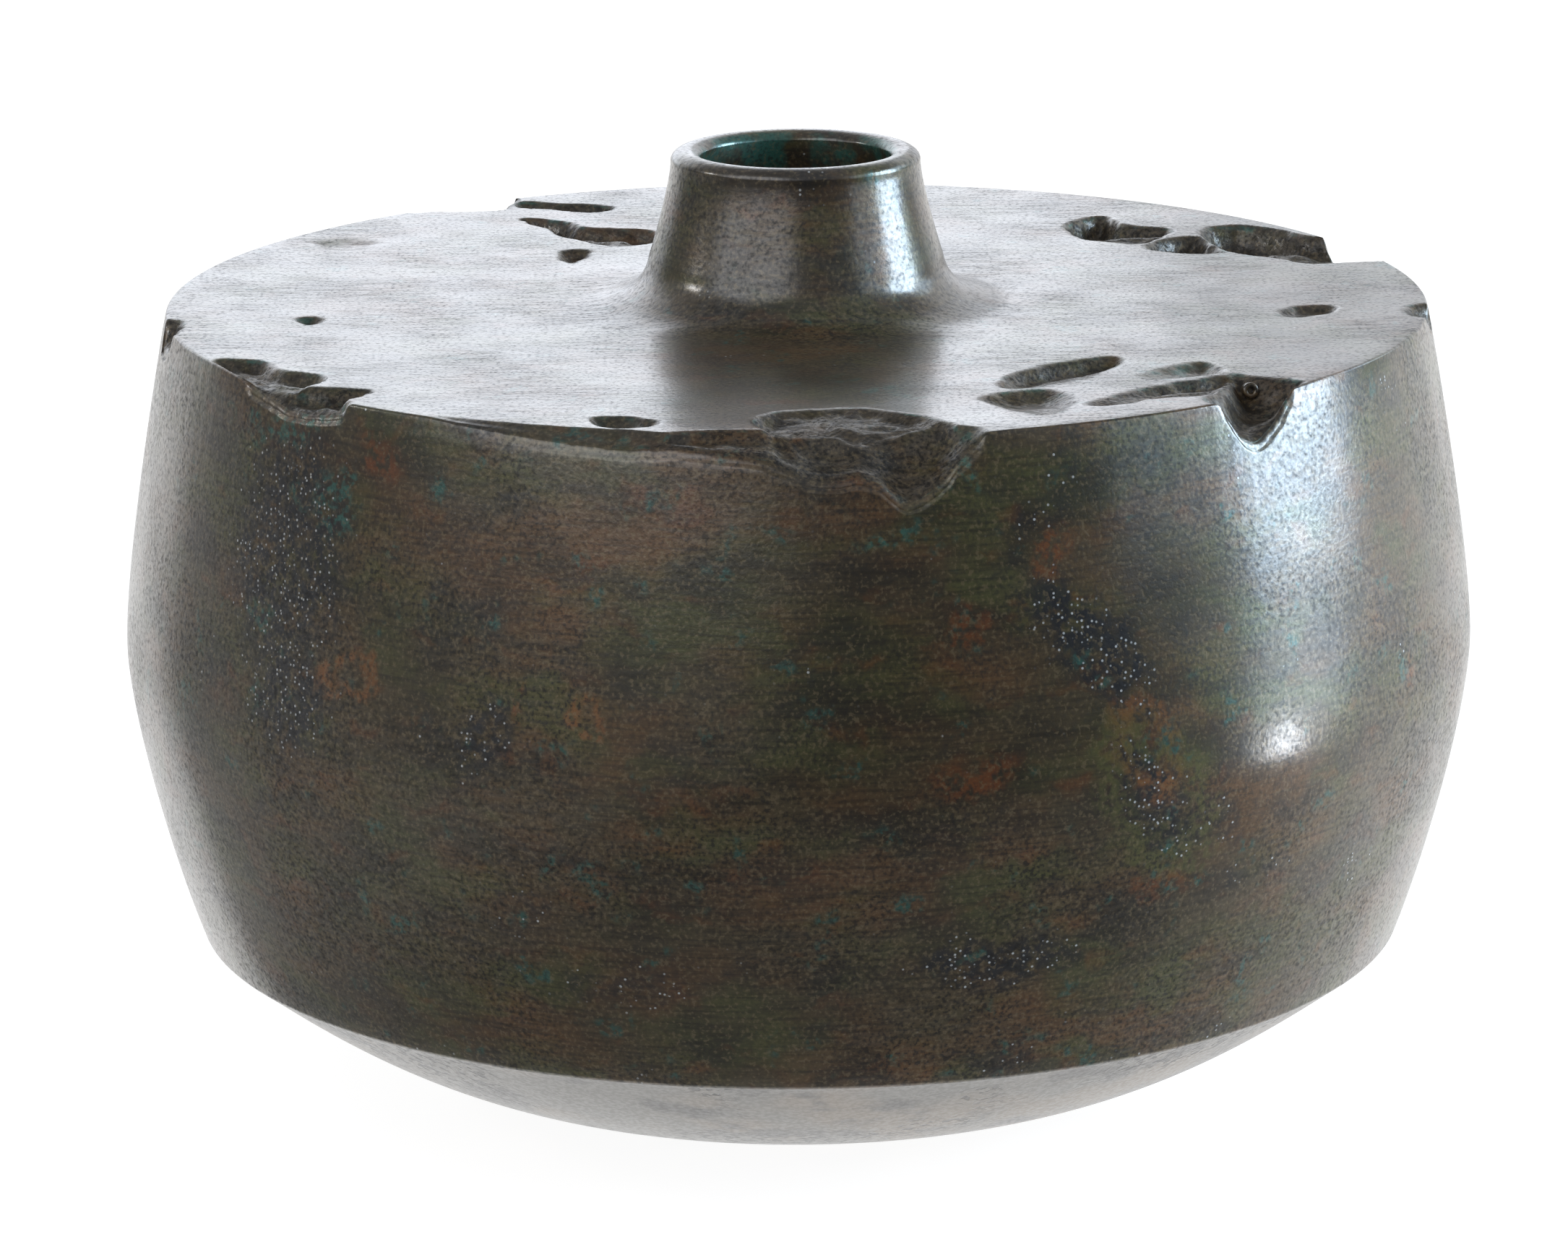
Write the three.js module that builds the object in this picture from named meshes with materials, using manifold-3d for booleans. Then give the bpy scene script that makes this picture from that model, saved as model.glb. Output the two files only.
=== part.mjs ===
// A cast bronze flower vase: a broad round drum with a flat shoulder, a short tapering neck,
// and a shallow bottom dish with a low foot ring, brazed into the drum at the lower crease.
// The shoulder's edge is torn, chipped and pitted, as it was left in the wax before casting.
// Millimetres, +Z up. The origin is the centre of the foot's underside, and -Y is the front.

import * as THREE from "three";
import { mergeVertices } from "three/addons/utils/BufferGeometryUtils.js";
import Module from "manifold-3d";

const wasm = await Module();
wasm.setup();

// Driving dimensions: the outside of the vase.
const SHOULDER_Z = 174;
const RIM_R = 139.4;
const BELLY_R = 150;
const BELLY_Z = 100;
const CREASE_R = 135;
const CREASE_Z = 35.3;
const CREASE_ROUND = 1.8;
const RIM_LEAN = 10.6;
const CREASE_LEAN = 20;
const UNDERSIDE_SLOPE = 35;
const FOOT_SLOPE = 8;
const FOOT_TOE_R = 70;
const FOOT_TOE_Z = 1.9;
const FOOT_R = 66;
const FOOT_INNER_R = 58;
const FOOT_RECESS = 3;
const FOOT_ROUND = [0.8, 1.3];
const FOOT_DRAFT = 1.5;

// The neck, in heights above the shoulder. The lip's section is an oval, half as wide and half
// as high as LIP_ROUND, and the curve handles give a radius and a height.
const LIP_R = 24.3;
const LIP_ROUND = [3.3, 2.4];
const LIP_H = 31.5;
const LIP_UNDERCUT = 10;
const NECK_HANDLES = [[28, 25.5], [31, 15]];
const NECK_FOOT_R = 32.6;
const NECK_FOOT_H = 10;
const FLARE_HANDLES = [[33.6, 4.6], [37.5, 0.5]];
const NECK_FLARE_R = 48;

// Lengths of the curve handles that make the wall bulge and the underside bow, in millimetres
// from the rim, up and down from the belly, from the crease, from the joint and from the foot.
const RIM_HANDLE = 30;
const BELLY_UP_HANDLE = 14;
const BELLY_DOWN_HANDLE = 12;
const CREASE_HANDLE = 24;
const UNDERSIDE_HANDLE = 11;
const FOOT_HANDLE = 30;

// Metal thickness, and the joint between the drum and its bottom.
const WALL = 5.5;
const SHOULDER_T = 6;
const BOTTOM_T = 6;
const BACKING = 4.5;
const GAP = 0.3;
const SEAT_R = 125;
const SEAT_TOP_Z = 41;
const SEAT_BLEND_Z = 48;
const SPIGOT_T = 5;
const SPIGOT_TOP_Z = 40;

// The inside of the drum: the throat below the mouth, the bend under the rim, and the heights
// at which the cavity follows the wall.
const MOUTH_ROUND_START = 105;
const THROAT_ROUND = [[2, 1], [8, -SHOULDER_T]];
const CORNER = 12;
const CORNER_BEVEL = [2, 4];
const CAVITY_HEIGHTS = [130, BELLY_Z, 72, SEAT_BLEND_Z];
const MOUTH_CLEARANCE = 10;

// The bead's section, outward from the seat and up from the spigot's top.
const BEAD_SECTION = [
  [-4, GAP], [-3.2, 2.6], [-0.6, 4.6], [2, 3.6], [-GAP, 1.2], [-GAP, GAP],
];

// Core chaplets: the square spacers that held the core off the mould, cast into the wall.
const CHAPLET_SIDE = 6;
const CHAPLET_COVER = 1.5;
const SHOULDER_CHAPLETS = 4;
const SHOULDER_CHAPLET_R = 62;
const WALL_CHAPLETS = 6;
const WALL_CHAPLET_START = 30;
const POCKET_REACH = 4;

// Facets around each turned piece, and steps along each curve of its profile.
const AROUND = 64;
const STEPS = { upperWall: 6, lowerWall: 6, bend: 2, underside: 7, lip: 4, mouth: 3, neck: 4, flare: 5 };

const BRONZE = { color: 0x3b352c, metalness: 0.9, roughness: 0.38 };
const BRAZE = { color: 0x6d5a34, metalness: 0.9, roughness: 0.5 };

const radians = THREE.MathUtils.degToRad;

// Hollows torn out of the shoulder and its edge, seen from above: an outline in x and y, the
// depth of the floor at the outline's middle, the width of the sloping edge, and how much the
// floor drops for each millimetre towards +x and +y. An outline that leaves the rim breaks it.
const hollows = [
  { name: "front bevel", depth: 1.8, edge: 3, drop: [0.05, -0.3],
    outline: [[-78, -117], [-60, -125], [-42, -128], [-30, -129], [-20, -131], [-10, -134],
      [-6, -150], [-45, -152], [-80, -130]] },
  { name: "front gully", depth: 7, edge: 4, drop: [0, 0.1],
    outline: [[-9, -119], [-5, -113], [5, -111], [13, -110], [18, -112], [28, -120], [30, -126],
      [20, -131], [8, -133], [-2, -131], [-8, -125]] },
  { name: "front face", depth: 7.5, edge: 4, drop: [0.1, -0.4],
    outline: [[-16, -134], [-2, -129], [8, -129], [16, -130], [22, -126], [30, -124], [37, -127],
      [38, -148], [12, -152], [-14, -150]] },
  { name: "front tip", depth: 12.5, edge: 8, drop: [0.1, -0.3],
    outline: [[11, -134], [22, -128], [33, -130], [37, -136], [31, -152], [14, -152]] },
  { name: "front strip", depth: 2.8, edge: 2.5, drop: [0, 0],
    outline: [[-29, -134], [-21, -130], [-15, -130], [-8, -132], [-7, -148], [-30, -148]] },
  { name: "front leaf", depth: 2.2, edge: 2.5, drop: [0, 0.1],
    outline: [[-43, -118], [-38, -117], [-33, -118], [-27, -122], [-29, -127], [-36, -130],
      [-41, -126]] },
  { name: "left chip", depth: 2.8, edge: 3, drop: [0.06, 0],
    outline: [[-124, -58], [-117, -60], [-113, -62], [-111, -68], [-107, -72], [-99, -77],
      [-100, -84], [-104, -88], [-108, -104], [-134, -76]] },
  { name: "left chip step", depth: 3.9, edge: 1.5, drop: [0, 0.05],
    outline: [[-110, -87], [-100, -88], [-93, -90], [-87, -91], [-91, -96], [-94, -102],
      [-98, -112], [-116, -98]] },
  { name: "right upper hollow", depth: 3, edge: 2.5, drop: [0, 0.08],
    outline: [[41, -89], [44, -80], [50, -72], [57, -66], [63, -62], [69, -61], [70, -67],
      [65, -77], [59, -86], [51, -92], [44, -94]] },
  { name: "right lower hollow", depth: 3.5, edge: 3, drop: [0, 0.08],
    outline: [[36, -101], [42, -96], [50, -92.5], [55, -95], [58, -103], [58, -110], [54, -117],
      [49, -120], [44, -115], [40, -108]] },
  { name: "right cleft", depth: 3.2, edge: 2.5, drop: [0, 0],
    outline: [[59, -107], [66, -100], [73, -92], [80, -86], [92, -79], [90, -90], [86, -102],
      [79, -102], [73, -104], [67, -109], [61, -111]] },
  { name: "right leaf", depth: 2, edge: 2.5, drop: [0, 0.05],
    outline: [[70, -81], [76, -74], [82, -68], [87, -66], [91, -76], [87, -80], [80, -83], [73, -85]] },
  { name: "right notch", depth: 8.8, edge: 5, drop: [0, 0],
    outline: [[84, -104], [88, -92], [90, -81], [92, -78], [96, -82], [105, -86], [107, -92],
      [114, -108], [100, -122], [85, -112]] },
  { name: "left nick", depth: 4.4, edge: 2.5, drop: [0, 0],
    outline: [[-134, -18], [-133, -27], [-135, -36], [-146, -39], [-148, -15]] },
  { name: "left pit", depth: 1.6, edge: 2, drop: [0, 0],
    outline: [[-111, -17], [-107, -14.5], [-103, -17], [-104, -22], [-107, -25], [-109, -21]] },
  { name: "left dish", depth: 0.8, edge: 4, drop: [0, 0],
    outline: [[-117, 69], [-108, 75], [-97, 74], [-92, 66], [-99, 59], [-110, 58]] },
  { name: "right pit", depth: 2, edge: 3, drop: [0, 0],
    outline: [[104, -18], [109, -9], [115, -8.5], [120, -10], [117, -17], [112, -23], [107, -23]] },
  { name: "right nick", depth: 2.6, edge: 2.5, drop: [0, 0],
    outline: [[133, -13], [136, -9], [146, -8], [145, -27], [135, -23], [132, -18]] },
  { name: "back right folds", depth: 5.2, edge: 3, drop: [0, 0.05],
    outline: [[62, 85], [67, 92], [73, 97], [75, 86], [81, 82], [89, 78], [85, 70], [80, 60],
      [72, 64], [65, 68]] },
  { name: "back right cliff", depth: 4.5, edge: 3, drop: [0, 0],
    outline: [[79, 58], [85, 67], [90, 70], [95, 69], [97, 58], [100, 51], [91, 50], [84, 52]] },
  { name: "back right tear", depth: 5.6, edge: 4, drop: [0.06, 0],
    outline: [[94, 79], [101, 83], [107, 81], [112, 77], [117, 70], [121, 66.5], [130, 68],
      [143, 48], [133, 39.5], [118, 36], [112, 42], [106, 47], [101, 50], [97, 57], [95, 68]] },
  { name: "back right break", depth: 8.5, edge: 3, drop: [0, 0],
    outline: [[118, 46], [124, 53], [137, 54], [141, 42], [131, 38.5], [120, 38]] },
  { name: "back left lobe", depth: 3.5, edge: 2, drop: [0, 0],
    outline: [[-67, 110], [-66, 119], [-61, 117], [-55, 114.5], [-46, 113], [-42, 108], [-46, 104.5],
      [-52, 105], [-58, 109]] },
  { name: "back left tear", depth: 6, edge: 3, drop: [0, 0],
    outline: [[-66, 99], [-62, 90], [-58, 86], [-56, 76], [-51, 71], [-44, 63], [-33, 64],
      [-31, 82], [-42, 83.5], [-50, 86], [-54, 93], [-60, 97]] },
  { name: "back left pit", depth: 1.8, edge: 2, drop: [0, 0],
    outline: [[-56, 56], [-52, 60], [-46, 60], [-47, 53], [-50, 41], [-53, 43]] },
  { name: "back left break", depth: 7, edge: 2.5, drop: [0, 0],
    outline: [[-105, 97], [-99, 103], [-90, 105], [-80, 106], [-72, 107.5], [-67.5, 110],
      [-66.5, 132], [-88, 126], [-110, 106]] },
  { name: "back nick", depth: 3.5, edge: 2, drop: [0, 0],
    outline: [[39, 134], [45, 131], [51, 131], [55, 142], [40, 144]] },
];

// How far a hollow's cutter stands above the shoulder, and the thinnest hollow that gets backing.
const CUTTER_TOP = 12;
const BACKED_DEPTH = 1.5;

// A hollow's sloping side, from its floor up: shares of its depth and of its edge's width.
const SIDE_SLOPE = [[1, 1], [0.8, 0.5], [0.4, 0.15], [0, 0]];

// Turned profiles are lists of [radius, height].

function bezier(a, b, c, d, steps) {
  const curve = new THREE.CubicBezierCurve(
    new THREE.Vector2(...a), new THREE.Vector2(...b), new THREE.Vector2(...c), new THREE.Vector2(...d));
  return curve.getPoints(steps).map((p) => [p.x, p.y]);
}

// An arc of an oval with its two half sizes, across and up.
function arc(centre, [across, up], from, to, steps) {
  const points = [];
  for (let i = 0; i <= steps; i += 1) {
    const angle = radians(from + ((to - from) * i) / steps);
    points.push([centre[0] + across * Math.cos(angle), centre[1] + up * Math.sin(angle)]);
  }
  return points;
}

// The wall's outside, from the rim down to the crease.
function wallOutside() {
  const rim = radians(RIM_LEAN);
  const crease = radians(CREASE_LEAN);
  const upper = bezier(
    [RIM_R, SHOULDER_Z],
    [RIM_R + RIM_HANDLE * Math.sin(rim), SHOULDER_Z - RIM_HANDLE * Math.cos(rim)],
    [BELLY_R, BELLY_Z + BELLY_UP_HANDLE],
    [BELLY_R, BELLY_Z], STEPS.upperWall);
  const lower = bezier(
    [BELLY_R, BELLY_Z],
    [BELLY_R, BELLY_Z - BELLY_DOWN_HANDLE],
    [CREASE_R + CREASE_HANDLE * Math.sin(crease), CREASE_Z + CREASE_HANDLE * Math.cos(crease)],
    [CREASE_R, CREASE_Z], STEPS.lowerWall);
  const centre = [
    CREASE_R - CREASE_ROUND * Math.cos(crease),
    CREASE_Z + CREASE_ROUND * Math.sin(crease)];
  const round = [CREASE_ROUND, CREASE_ROUND];
  const bend = arc(centre, round, -CREASE_LEAN, UNDERSIDE_SLOPE - 90, STEPS.bend);
  return [...upper, ...lower.slice(1), ...bend.slice(1)];
}

const wall = wallOutside();
const joint = wall[wall.length - 1];

// The underside, from the joint down to the toe of the foot.
function underside(start) {
  const slope = radians(UNDERSIDE_SLOPE);
  const toe = radians(FOOT_SLOPE);
  return bezier(
    start,
    [start[0] - UNDERSIDE_HANDLE * Math.cos(slope), start[1] - UNDERSIDE_HANDLE * Math.sin(slope)],
    [FOOT_TOE_R + FOOT_HANDLE * Math.cos(toe), FOOT_TOE_Z + FOOT_HANDLE * Math.sin(toe)],
    [FOOT_TOE_R, FOOT_TOE_Z], STEPS.underside);
}

// The outer radius of the wall at a height.
function wallRadius(z) {
  for (let i = 1; i < wall.length; i += 1) {
    const [r0, z0] = wall[i - 1];
    const [r1, z1] = wall[i];
    if (z <= z0 && z >= z1) {
      return r0 + ((r1 - r0) * (z0 - z)) / (z0 - z1);
    }
  }
  return RIM_R;
}

// The neck's outside, from the lip down into the shoulder.
function neckOutside() {
  const lip = arc([LIP_R, LIP_H], LIP_ROUND, 90, -LIP_UNDERCUT, STEPS.lip);
  const foot = [NECK_FOOT_R, NECK_FOOT_H];
  const side = bezier(lip[lip.length - 1], ...NECK_HANDLES, foot, STEPS.neck);
  const flare = bezier(foot, ...FLARE_HANDLES, [NECK_FLARE_R, 0], STEPS.flare);
  return [...lip, ...side.slice(1), ...flare.slice(1)].map(([r, h]) => [r, SHOULDER_Z + h]);
}

// The hollow space inside the drum, from the mouth down to the seat of the bottom.
function cavityProfile() {
  const mouth = arc([LIP_R, SHOULDER_Z + LIP_H], LIP_ROUND, MOUTH_ROUND_START, 180, STEPS.mouth);
  const throat = NECK_FOOT_R - 2 * LIP_ROUND[0];
  const ceiling = SHOULDER_Z - SHOULDER_T;
  const above = SHOULDER_Z + LIP_H + MOUTH_CLEARANCE;
  const top = RIM_R - WALL;
  const walls = CAVITY_HEIGHTS.map((z) => [wallRadius(z) - WALL, z]);
  return [
    [0, above],
    [mouth[0][0], above],
    ...mouth,
    [throat, SHOULDER_Z + NECK_FOOT_H],
    ...THROAT_ROUND.map(([out, up]) => [throat + out, SHOULDER_Z + up]),
    [top - CORNER, ceiling],
    [top - CORNER_BEVEL[0], ceiling - CORNER_BEVEL[1]],
    [wallRadius(ceiling - CORNER) - WALL, ceiling - CORNER],
    ...walls,
    [SEAT_R, SEAT_TOP_Z],
    [SEAT_R, 0],
    [0, 0],
  ];
}

function solidOf(geometry) {
  const bare = geometry.clone();
  bare.deleteAttribute("normal");
  bare.deleteAttribute("uv");
  const merged = mergeVertices(bare, 1e-4);
  const index = merged.index.array;
  const triVerts = [];
  for (let i = 0; i < index.length; i += 3) {
    const [a, b, c] = [index[i], index[i + 1], index[i + 2]];
    if (a !== b && b !== c && c !== a) {
      triVerts.push(a, b, c);
    }
  }
  return new wasm.Manifold(new wasm.Mesh({
    numProp: 3,
    vertProperties: new Float32Array(merged.attributes.position.array),
    triVerts: new Uint32Array(triVerts),
  }));
}

function geometryOf(solid) {
  const mesh = solid.getMesh();
  const geometry = new THREE.BufferGeometry();
  geometry.setAttribute("position", new THREE.BufferAttribute(mesh.vertProperties, 3));
  geometry.setIndex(new THREE.BufferAttribute(mesh.triVerts, 1));
  geometry.computeVertexNormals();
  return geometry;
}

// A profile listed from the top of the outside down to the bottom turns into an outward solid.
function turned(profile) {
  const points = profile.map(([r, z]) => new THREE.Vector2(r, z)).reverse();
  return new THREE.LatheGeometry(points, AROUND).rotateX(Math.PI / 2);
}

// An outline's corners rounded by a closed curve through its points.
function rounded(outline) {
  const corners = outline.map(([x, y]) => new THREE.Vector3(x, y, 0));
  const curve = new THREE.CatmullRomCurve3(corners, true, "centripetal");
  return curve.getPoints(outline.length * 2).slice(1).map((p) => new THREE.Vector2(p.x, p.y));
}

// A hollow's levels from the floor up: the height against the shoulder, and how far the outline
// has moved in or out there. With a growth, they are those of the metal that backs the hollow.
function hollowLevels(hollow, growth) {
  if (growth > 0) {
    return [[-hollow.depth - growth, growth], [CUTTER_TOP, growth]];
  }
  const sides = SIDE_SLOPE.map(([down, inward]) => [-down * hollow.depth, -inward * hollow.edge]);
  return [...sides, [CUTTER_TOP, 0]];
}

// A hollow as a solid: an extruded outline whose every level is scaled about its middle.
function hollowSolid(hollow, growth) {
  const levels = hollowLevels(hollow, growth);
  const steps = levels.length - 1;
  const shape = new THREE.Shape(rounded(hollow.outline));
  const geometry = new THREE.ExtrudeGeometry(shape, { depth: steps, steps, bevelEnabled: false });
  const corners = hollow.outline.map(([x, y]) => new THREE.Vector2(x, y));
  const middle = new THREE.Vector2();
  corners.forEach((corner) => middle.add(corner));
  middle.divideScalar(corners.length);
  const reach = corners.reduce((sum, corner) => sum + middle.distanceTo(corner), 0) / corners.length;
  const position = geometry.attributes.position;
  for (let i = 0; i < position.count; i += 1) {
    const [height, shift] = levels[Math.round(position.getZ(i))];
    const scale = 1 + shift / reach;
    const x = (position.getX(i) - middle.x) * scale;
    const y = (position.getY(i) - middle.y) * scale;
    const floor = SHOULDER_Z + height - hollow.drop[0] * x - hollow.drop[1] * y;
    position.setXYZ(i, middle.x + x, middle.y + y, floor);
  }
  return solidOf(geometry);
}

// Chaplets stand upright in the shoulder, and lie along a radius in the wall.
function chapletRow(part, count, start, upright) {
  const places = [];
  for (let i = 0; i < count; i += 1) {
    places.push({ name: `core_chaplet_${part}_${i + 1}`, azimuth: start + (360 / count) * i, upright });
  }
  return places;
}

const chaplets = [
  ...chapletRow("shoulder", SHOULDER_CHAPLETS, 0, true),
  ...chapletRow("wall", WALL_CHAPLETS, WALL_CHAPLET_START, false),
];

// A bar at a chaplet's place, from its buried end to a reach into the cavity.
function chapletBar(place, side, buried, reach) {
  const length = (place.upright ? SHOULDER_T : WALL) - buried + reach;
  const geometry = new THREE.BoxGeometry(side, side, length);
  if (place.upright) {
    geometry.translate(SHOULDER_CHAPLET_R, 0, SHOULDER_Z - buried - length / 2);
  } else {
    geometry.rotateY(Math.PI / 2);
    geometry.translate(BELLY_R - buried - length / 2, 0, BELLY_Z);
  }
  return geometry.rotateZ(radians(place.azimuth - 90));
}

function bodyCasting() {
  const outside = [...neckOutside(), ...wall];
  const blank = solidOf(turned([[0, outside[0][1]], ...outside, [0, joint[1]]]));
  let cavity = solidOf(turned(cavityProfile()));
  let body = blank;
  for (const hollow of hollows) {
    body = body.subtract(hollowSolid(hollow, 0));
    if (hollow.depth > BACKED_DEPTH) {
      cavity = cavity.subtract(hollowSolid(hollow, BACKING));
    }
  }
  body = body.subtract(cavity);
  for (const place of chaplets) {
    const pocket = chapletBar(place, CHAPLET_SIDE + 2 * GAP, CHAPLET_COVER - GAP, POCKET_REACH);
    body = body.subtract(solidOf(pocket));
  }
  return geometryOf(body);
}

function bottomCasting() {
  const start = [joint[0] - GAP, joint[1] - GAP];
  const under = underside(start);
  const spigotR = SEAT_R - GAP;
  const spigotInnerR = spigotR - SPIGOT_T;
  const inside = under.filter(([r]) => r < spigotInnerR - 1).map(([r, z]) => [r, z + BOTTOM_T]);
  const profile = [
    [0, FOOT_RECESS + BOTTOM_T],
    [FOOT_INNER_R, FOOT_RECESS + BOTTOM_T],
    ...inside.reverse().slice(1),
    [spigotInnerR, start[1] - 1],
    [spigotInnerR, SPIGOT_TOP_Z],
    [spigotR, SPIGOT_TOP_Z],
    [spigotR, start[1]],
    ...under,
    [FOOT_R + FOOT_ROUND[0], FOOT_ROUND[1]],
    [FOOT_R, 0],
    [FOOT_INNER_R, 0],
    [FOOT_INNER_R - FOOT_DRAFT, FOOT_RECESS],
    [0, FOOT_RECESS],
  ];
  return geometryOf(solidOf(turned(profile)));
}

// A bead of braze lies in the corner above the spigot, all the way round.
function brazeRing() {
  const section = BEAD_SECTION.map(([out, up]) => [SEAT_R + out, SPIGOT_TOP_Z + up]);
  return geometryOf(solidOf(turned([...section, section[0]])));
}

function named(name, geometry, finish) {
  const mesh = new THREE.Mesh(geometry, new THREE.MeshStandardMaterial(finish));
  mesh.name = name;
  return mesh;
}

const vase = new THREE.Group();
vase.name = "bronze_vase";
vase.add(named("body_casting", bodyCasting(), BRONZE));
vase.add(named("bottom_casting", bottomCasting(), BRONZE));
vase.add(named("braze_ring", brazeRing(), BRAZE));
for (const place of chaplets) {
  vase.add(named(place.name, chapletBar(place, CHAPLET_SIDE, CHAPLET_COVER, -GAP), BRONZE));
}

export default vase;
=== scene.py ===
# %% [markdown]
# # A cast bronze flower vase
# The vase is a broad round drum of bronze with a flat shoulder, a short tapering neck and a shallow
# bottom. The shoulder's edge is torn and folded, as it was left in the wax before casting. The CAD
# model gives every piece at its real size. This script dresses it: finer skins for the two castings,
# a patina, a white table and soft light. It begins by loading the model, which is never moved.

# %% Open the frame
import math

import bmesh
import bpy
import numpy as np
from mathutils import Euler, Matrix, Vector, noise


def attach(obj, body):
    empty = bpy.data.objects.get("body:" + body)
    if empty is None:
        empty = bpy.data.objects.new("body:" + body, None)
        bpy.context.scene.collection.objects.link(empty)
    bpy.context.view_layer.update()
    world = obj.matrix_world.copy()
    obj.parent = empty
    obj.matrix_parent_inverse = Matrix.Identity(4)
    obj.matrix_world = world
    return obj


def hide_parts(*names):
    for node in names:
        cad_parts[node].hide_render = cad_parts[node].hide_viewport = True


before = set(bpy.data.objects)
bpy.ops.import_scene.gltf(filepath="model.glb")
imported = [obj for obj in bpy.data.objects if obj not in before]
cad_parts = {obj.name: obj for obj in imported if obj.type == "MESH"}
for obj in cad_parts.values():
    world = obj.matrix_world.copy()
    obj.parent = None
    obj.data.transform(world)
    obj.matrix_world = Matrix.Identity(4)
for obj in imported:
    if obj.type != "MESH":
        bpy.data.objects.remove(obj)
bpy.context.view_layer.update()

MM = 0.001

# %% [markdown]
# ## The camera
# A long lens from about a metre and a half away keeps the drum's shoulder a calm, flat ellipse. The
# place and tilt were found by fitting the vase's outline. The roll of under half a degree is real:
# the right side of the shoulder stands a little higher in the frame than the left.

# %% Place the camera
CAMERA_PLACE = Vector((0, -1450, 472.3)) * MM
CAMERA_PAN = 0.128
CAMERA_DOWN = 14.354
CAMERA_ROLL = -0.402
CAMERA_LENS = 153.14
SENSOR = 36

camera_data = bpy.data.cameras.new("camera")
camera_data.lens = CAMERA_LENS
camera_data.sensor_width = SENSOR
camera = bpy.data.objects.new("camera", camera_data)
bpy.context.scene.collection.objects.link(camera)
camera.matrix_world = (
    Matrix.Translation(CAMERA_PLACE)
    @ Matrix.Rotation(math.radians(CAMERA_PAN), 4, "Z")
    @ Matrix.Rotation(math.radians(90 - CAMERA_DOWN), 4, "X")
    @ Matrix.Rotation(math.radians(CAMERA_ROLL), 4, "Z")
)
bpy.context.scene.camera = camera
print("camera at", [round(v, 3) for v in CAMERA_PLACE])

# %% [markdown]
# ## Measures of the drum
# The drum's outline is two long curves that meet at the belly, and a crisp crease near the foot. All
# sizes are millimetres, and they are the same as in the CAD model, so the skins lie exactly on its
# solids. The skins only have more points along each curve.

# %% Measures of the drum
SHOULDER_Z = 174
RIM_R = 139.4
RIM_LEAN = 10.6
RIM_HANDLE = 30
BELLY_R = 150
BELLY_Z = 100
BELLY_UP_HANDLE = 14
BELLY_DOWN_HANDLE = 12
CREASE_R = 135
CREASE_Z = 35.3
CREASE_ROUND = 1.8
CREASE_LEAN = 20
CREASE_HANDLE = 24
UNDERSIDE_SLOPE = 35
print("drum:", 2 * BELLY_R, "mm across,", SHOULDER_Z, "mm up to its shoulder")

# %% [markdown]
# ## Two kinds of curve
# A turned profile is made of long easy curves and small rounded edges. A Bezier curve gives the
# first: it leaves one end along a handle and comes to the other end along a second one. An arc of a
# circle or an oval gives the second.

# %% Curves


def bezier(a, b, c, d, steps):
    """Points along a curve from a to d, with b and c as its handles."""
    t = np.linspace(0, 1, steps + 1)[:, None]
    a, b, c, d = (np.array(p, float) for p in (a, b, c, d))
    return (1 - t) ** 3 * a + 3 * (1 - t) ** 2 * t * b + 3 * (1 - t) * t**2 * c + t**3 * d


def arc(centre, radii, start, end, steps):
    """Points round an arc of an oval with two half sizes, with angles in degrees."""
    angles = np.radians(np.linspace(start, end, steps + 1))
    return np.array(centre) + np.array(radii) * np.column_stack([np.cos(angles), np.sin(angles)])


print("a quarter circle in 2 steps:", arc((0, 0), (1, 1), 0, 90, 2).round(2).tolist())

# %% [markdown]
# ## The wall's line
# The wall is one line from the rim, over the belly, to the end of the crease's bend. The tears, the
# stains and the bottom all ask how wide the wall is at some height, and this line answers that too.

# %% Draw the wall's line
WALL_STEPS = 22
CREASE_STEPS = 6


def wall_outside():
    """The wall from the rim down to the end of the crease's bend."""
    rim, crease = math.radians(RIM_LEAN), math.radians(CREASE_LEAN)
    upper = bezier(
        (RIM_R, SHOULDER_Z),
        (RIM_R + RIM_HANDLE * math.sin(rim), SHOULDER_Z - RIM_HANDLE * math.cos(rim)),
        (BELLY_R, BELLY_Z + BELLY_UP_HANDLE),
        (BELLY_R, BELLY_Z),
        WALL_STEPS,
    )
    lower = bezier(
        (BELLY_R, BELLY_Z),
        (BELLY_R, BELLY_Z - BELLY_DOWN_HANDLE),
        (CREASE_R + CREASE_HANDLE * math.sin(crease), CREASE_Z + CREASE_HANDLE * math.cos(crease)),
        (CREASE_R, CREASE_Z),
        WALL_STEPS,
    )
    centre = (CREASE_R - CREASE_ROUND * math.cos(crease), CREASE_Z + CREASE_ROUND * math.sin(crease))
    bend = arc(centre, (CREASE_ROUND, CREASE_ROUND), -CREASE_LEAN, UNDERSIDE_SLOPE - 90, CREASE_STEPS)
    return np.vstack([upper, lower[1:], bend[1:]])


WALL_LINE = wall_outside()
JOINT = WALL_LINE[-1]


def wall_radius(z):
    """The wall's outer radius at a height."""
    return np.interp(-np.asarray(z), -WALL_LINE[:, 1], WALL_LINE[:, 0])


print("crease joint at radius", round(JOINT[0], 1), "height", round(JOINT[1], 1))

# %% [markdown]
# ## The neck and the inside
# The neck tapers up to a rolled lip and flares into the shoulder. The inside follows the outside at
# a casting's thickness. Near the crease it has a seat, where the bottom is let in. It is hidden, so
# it has few points.

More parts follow.
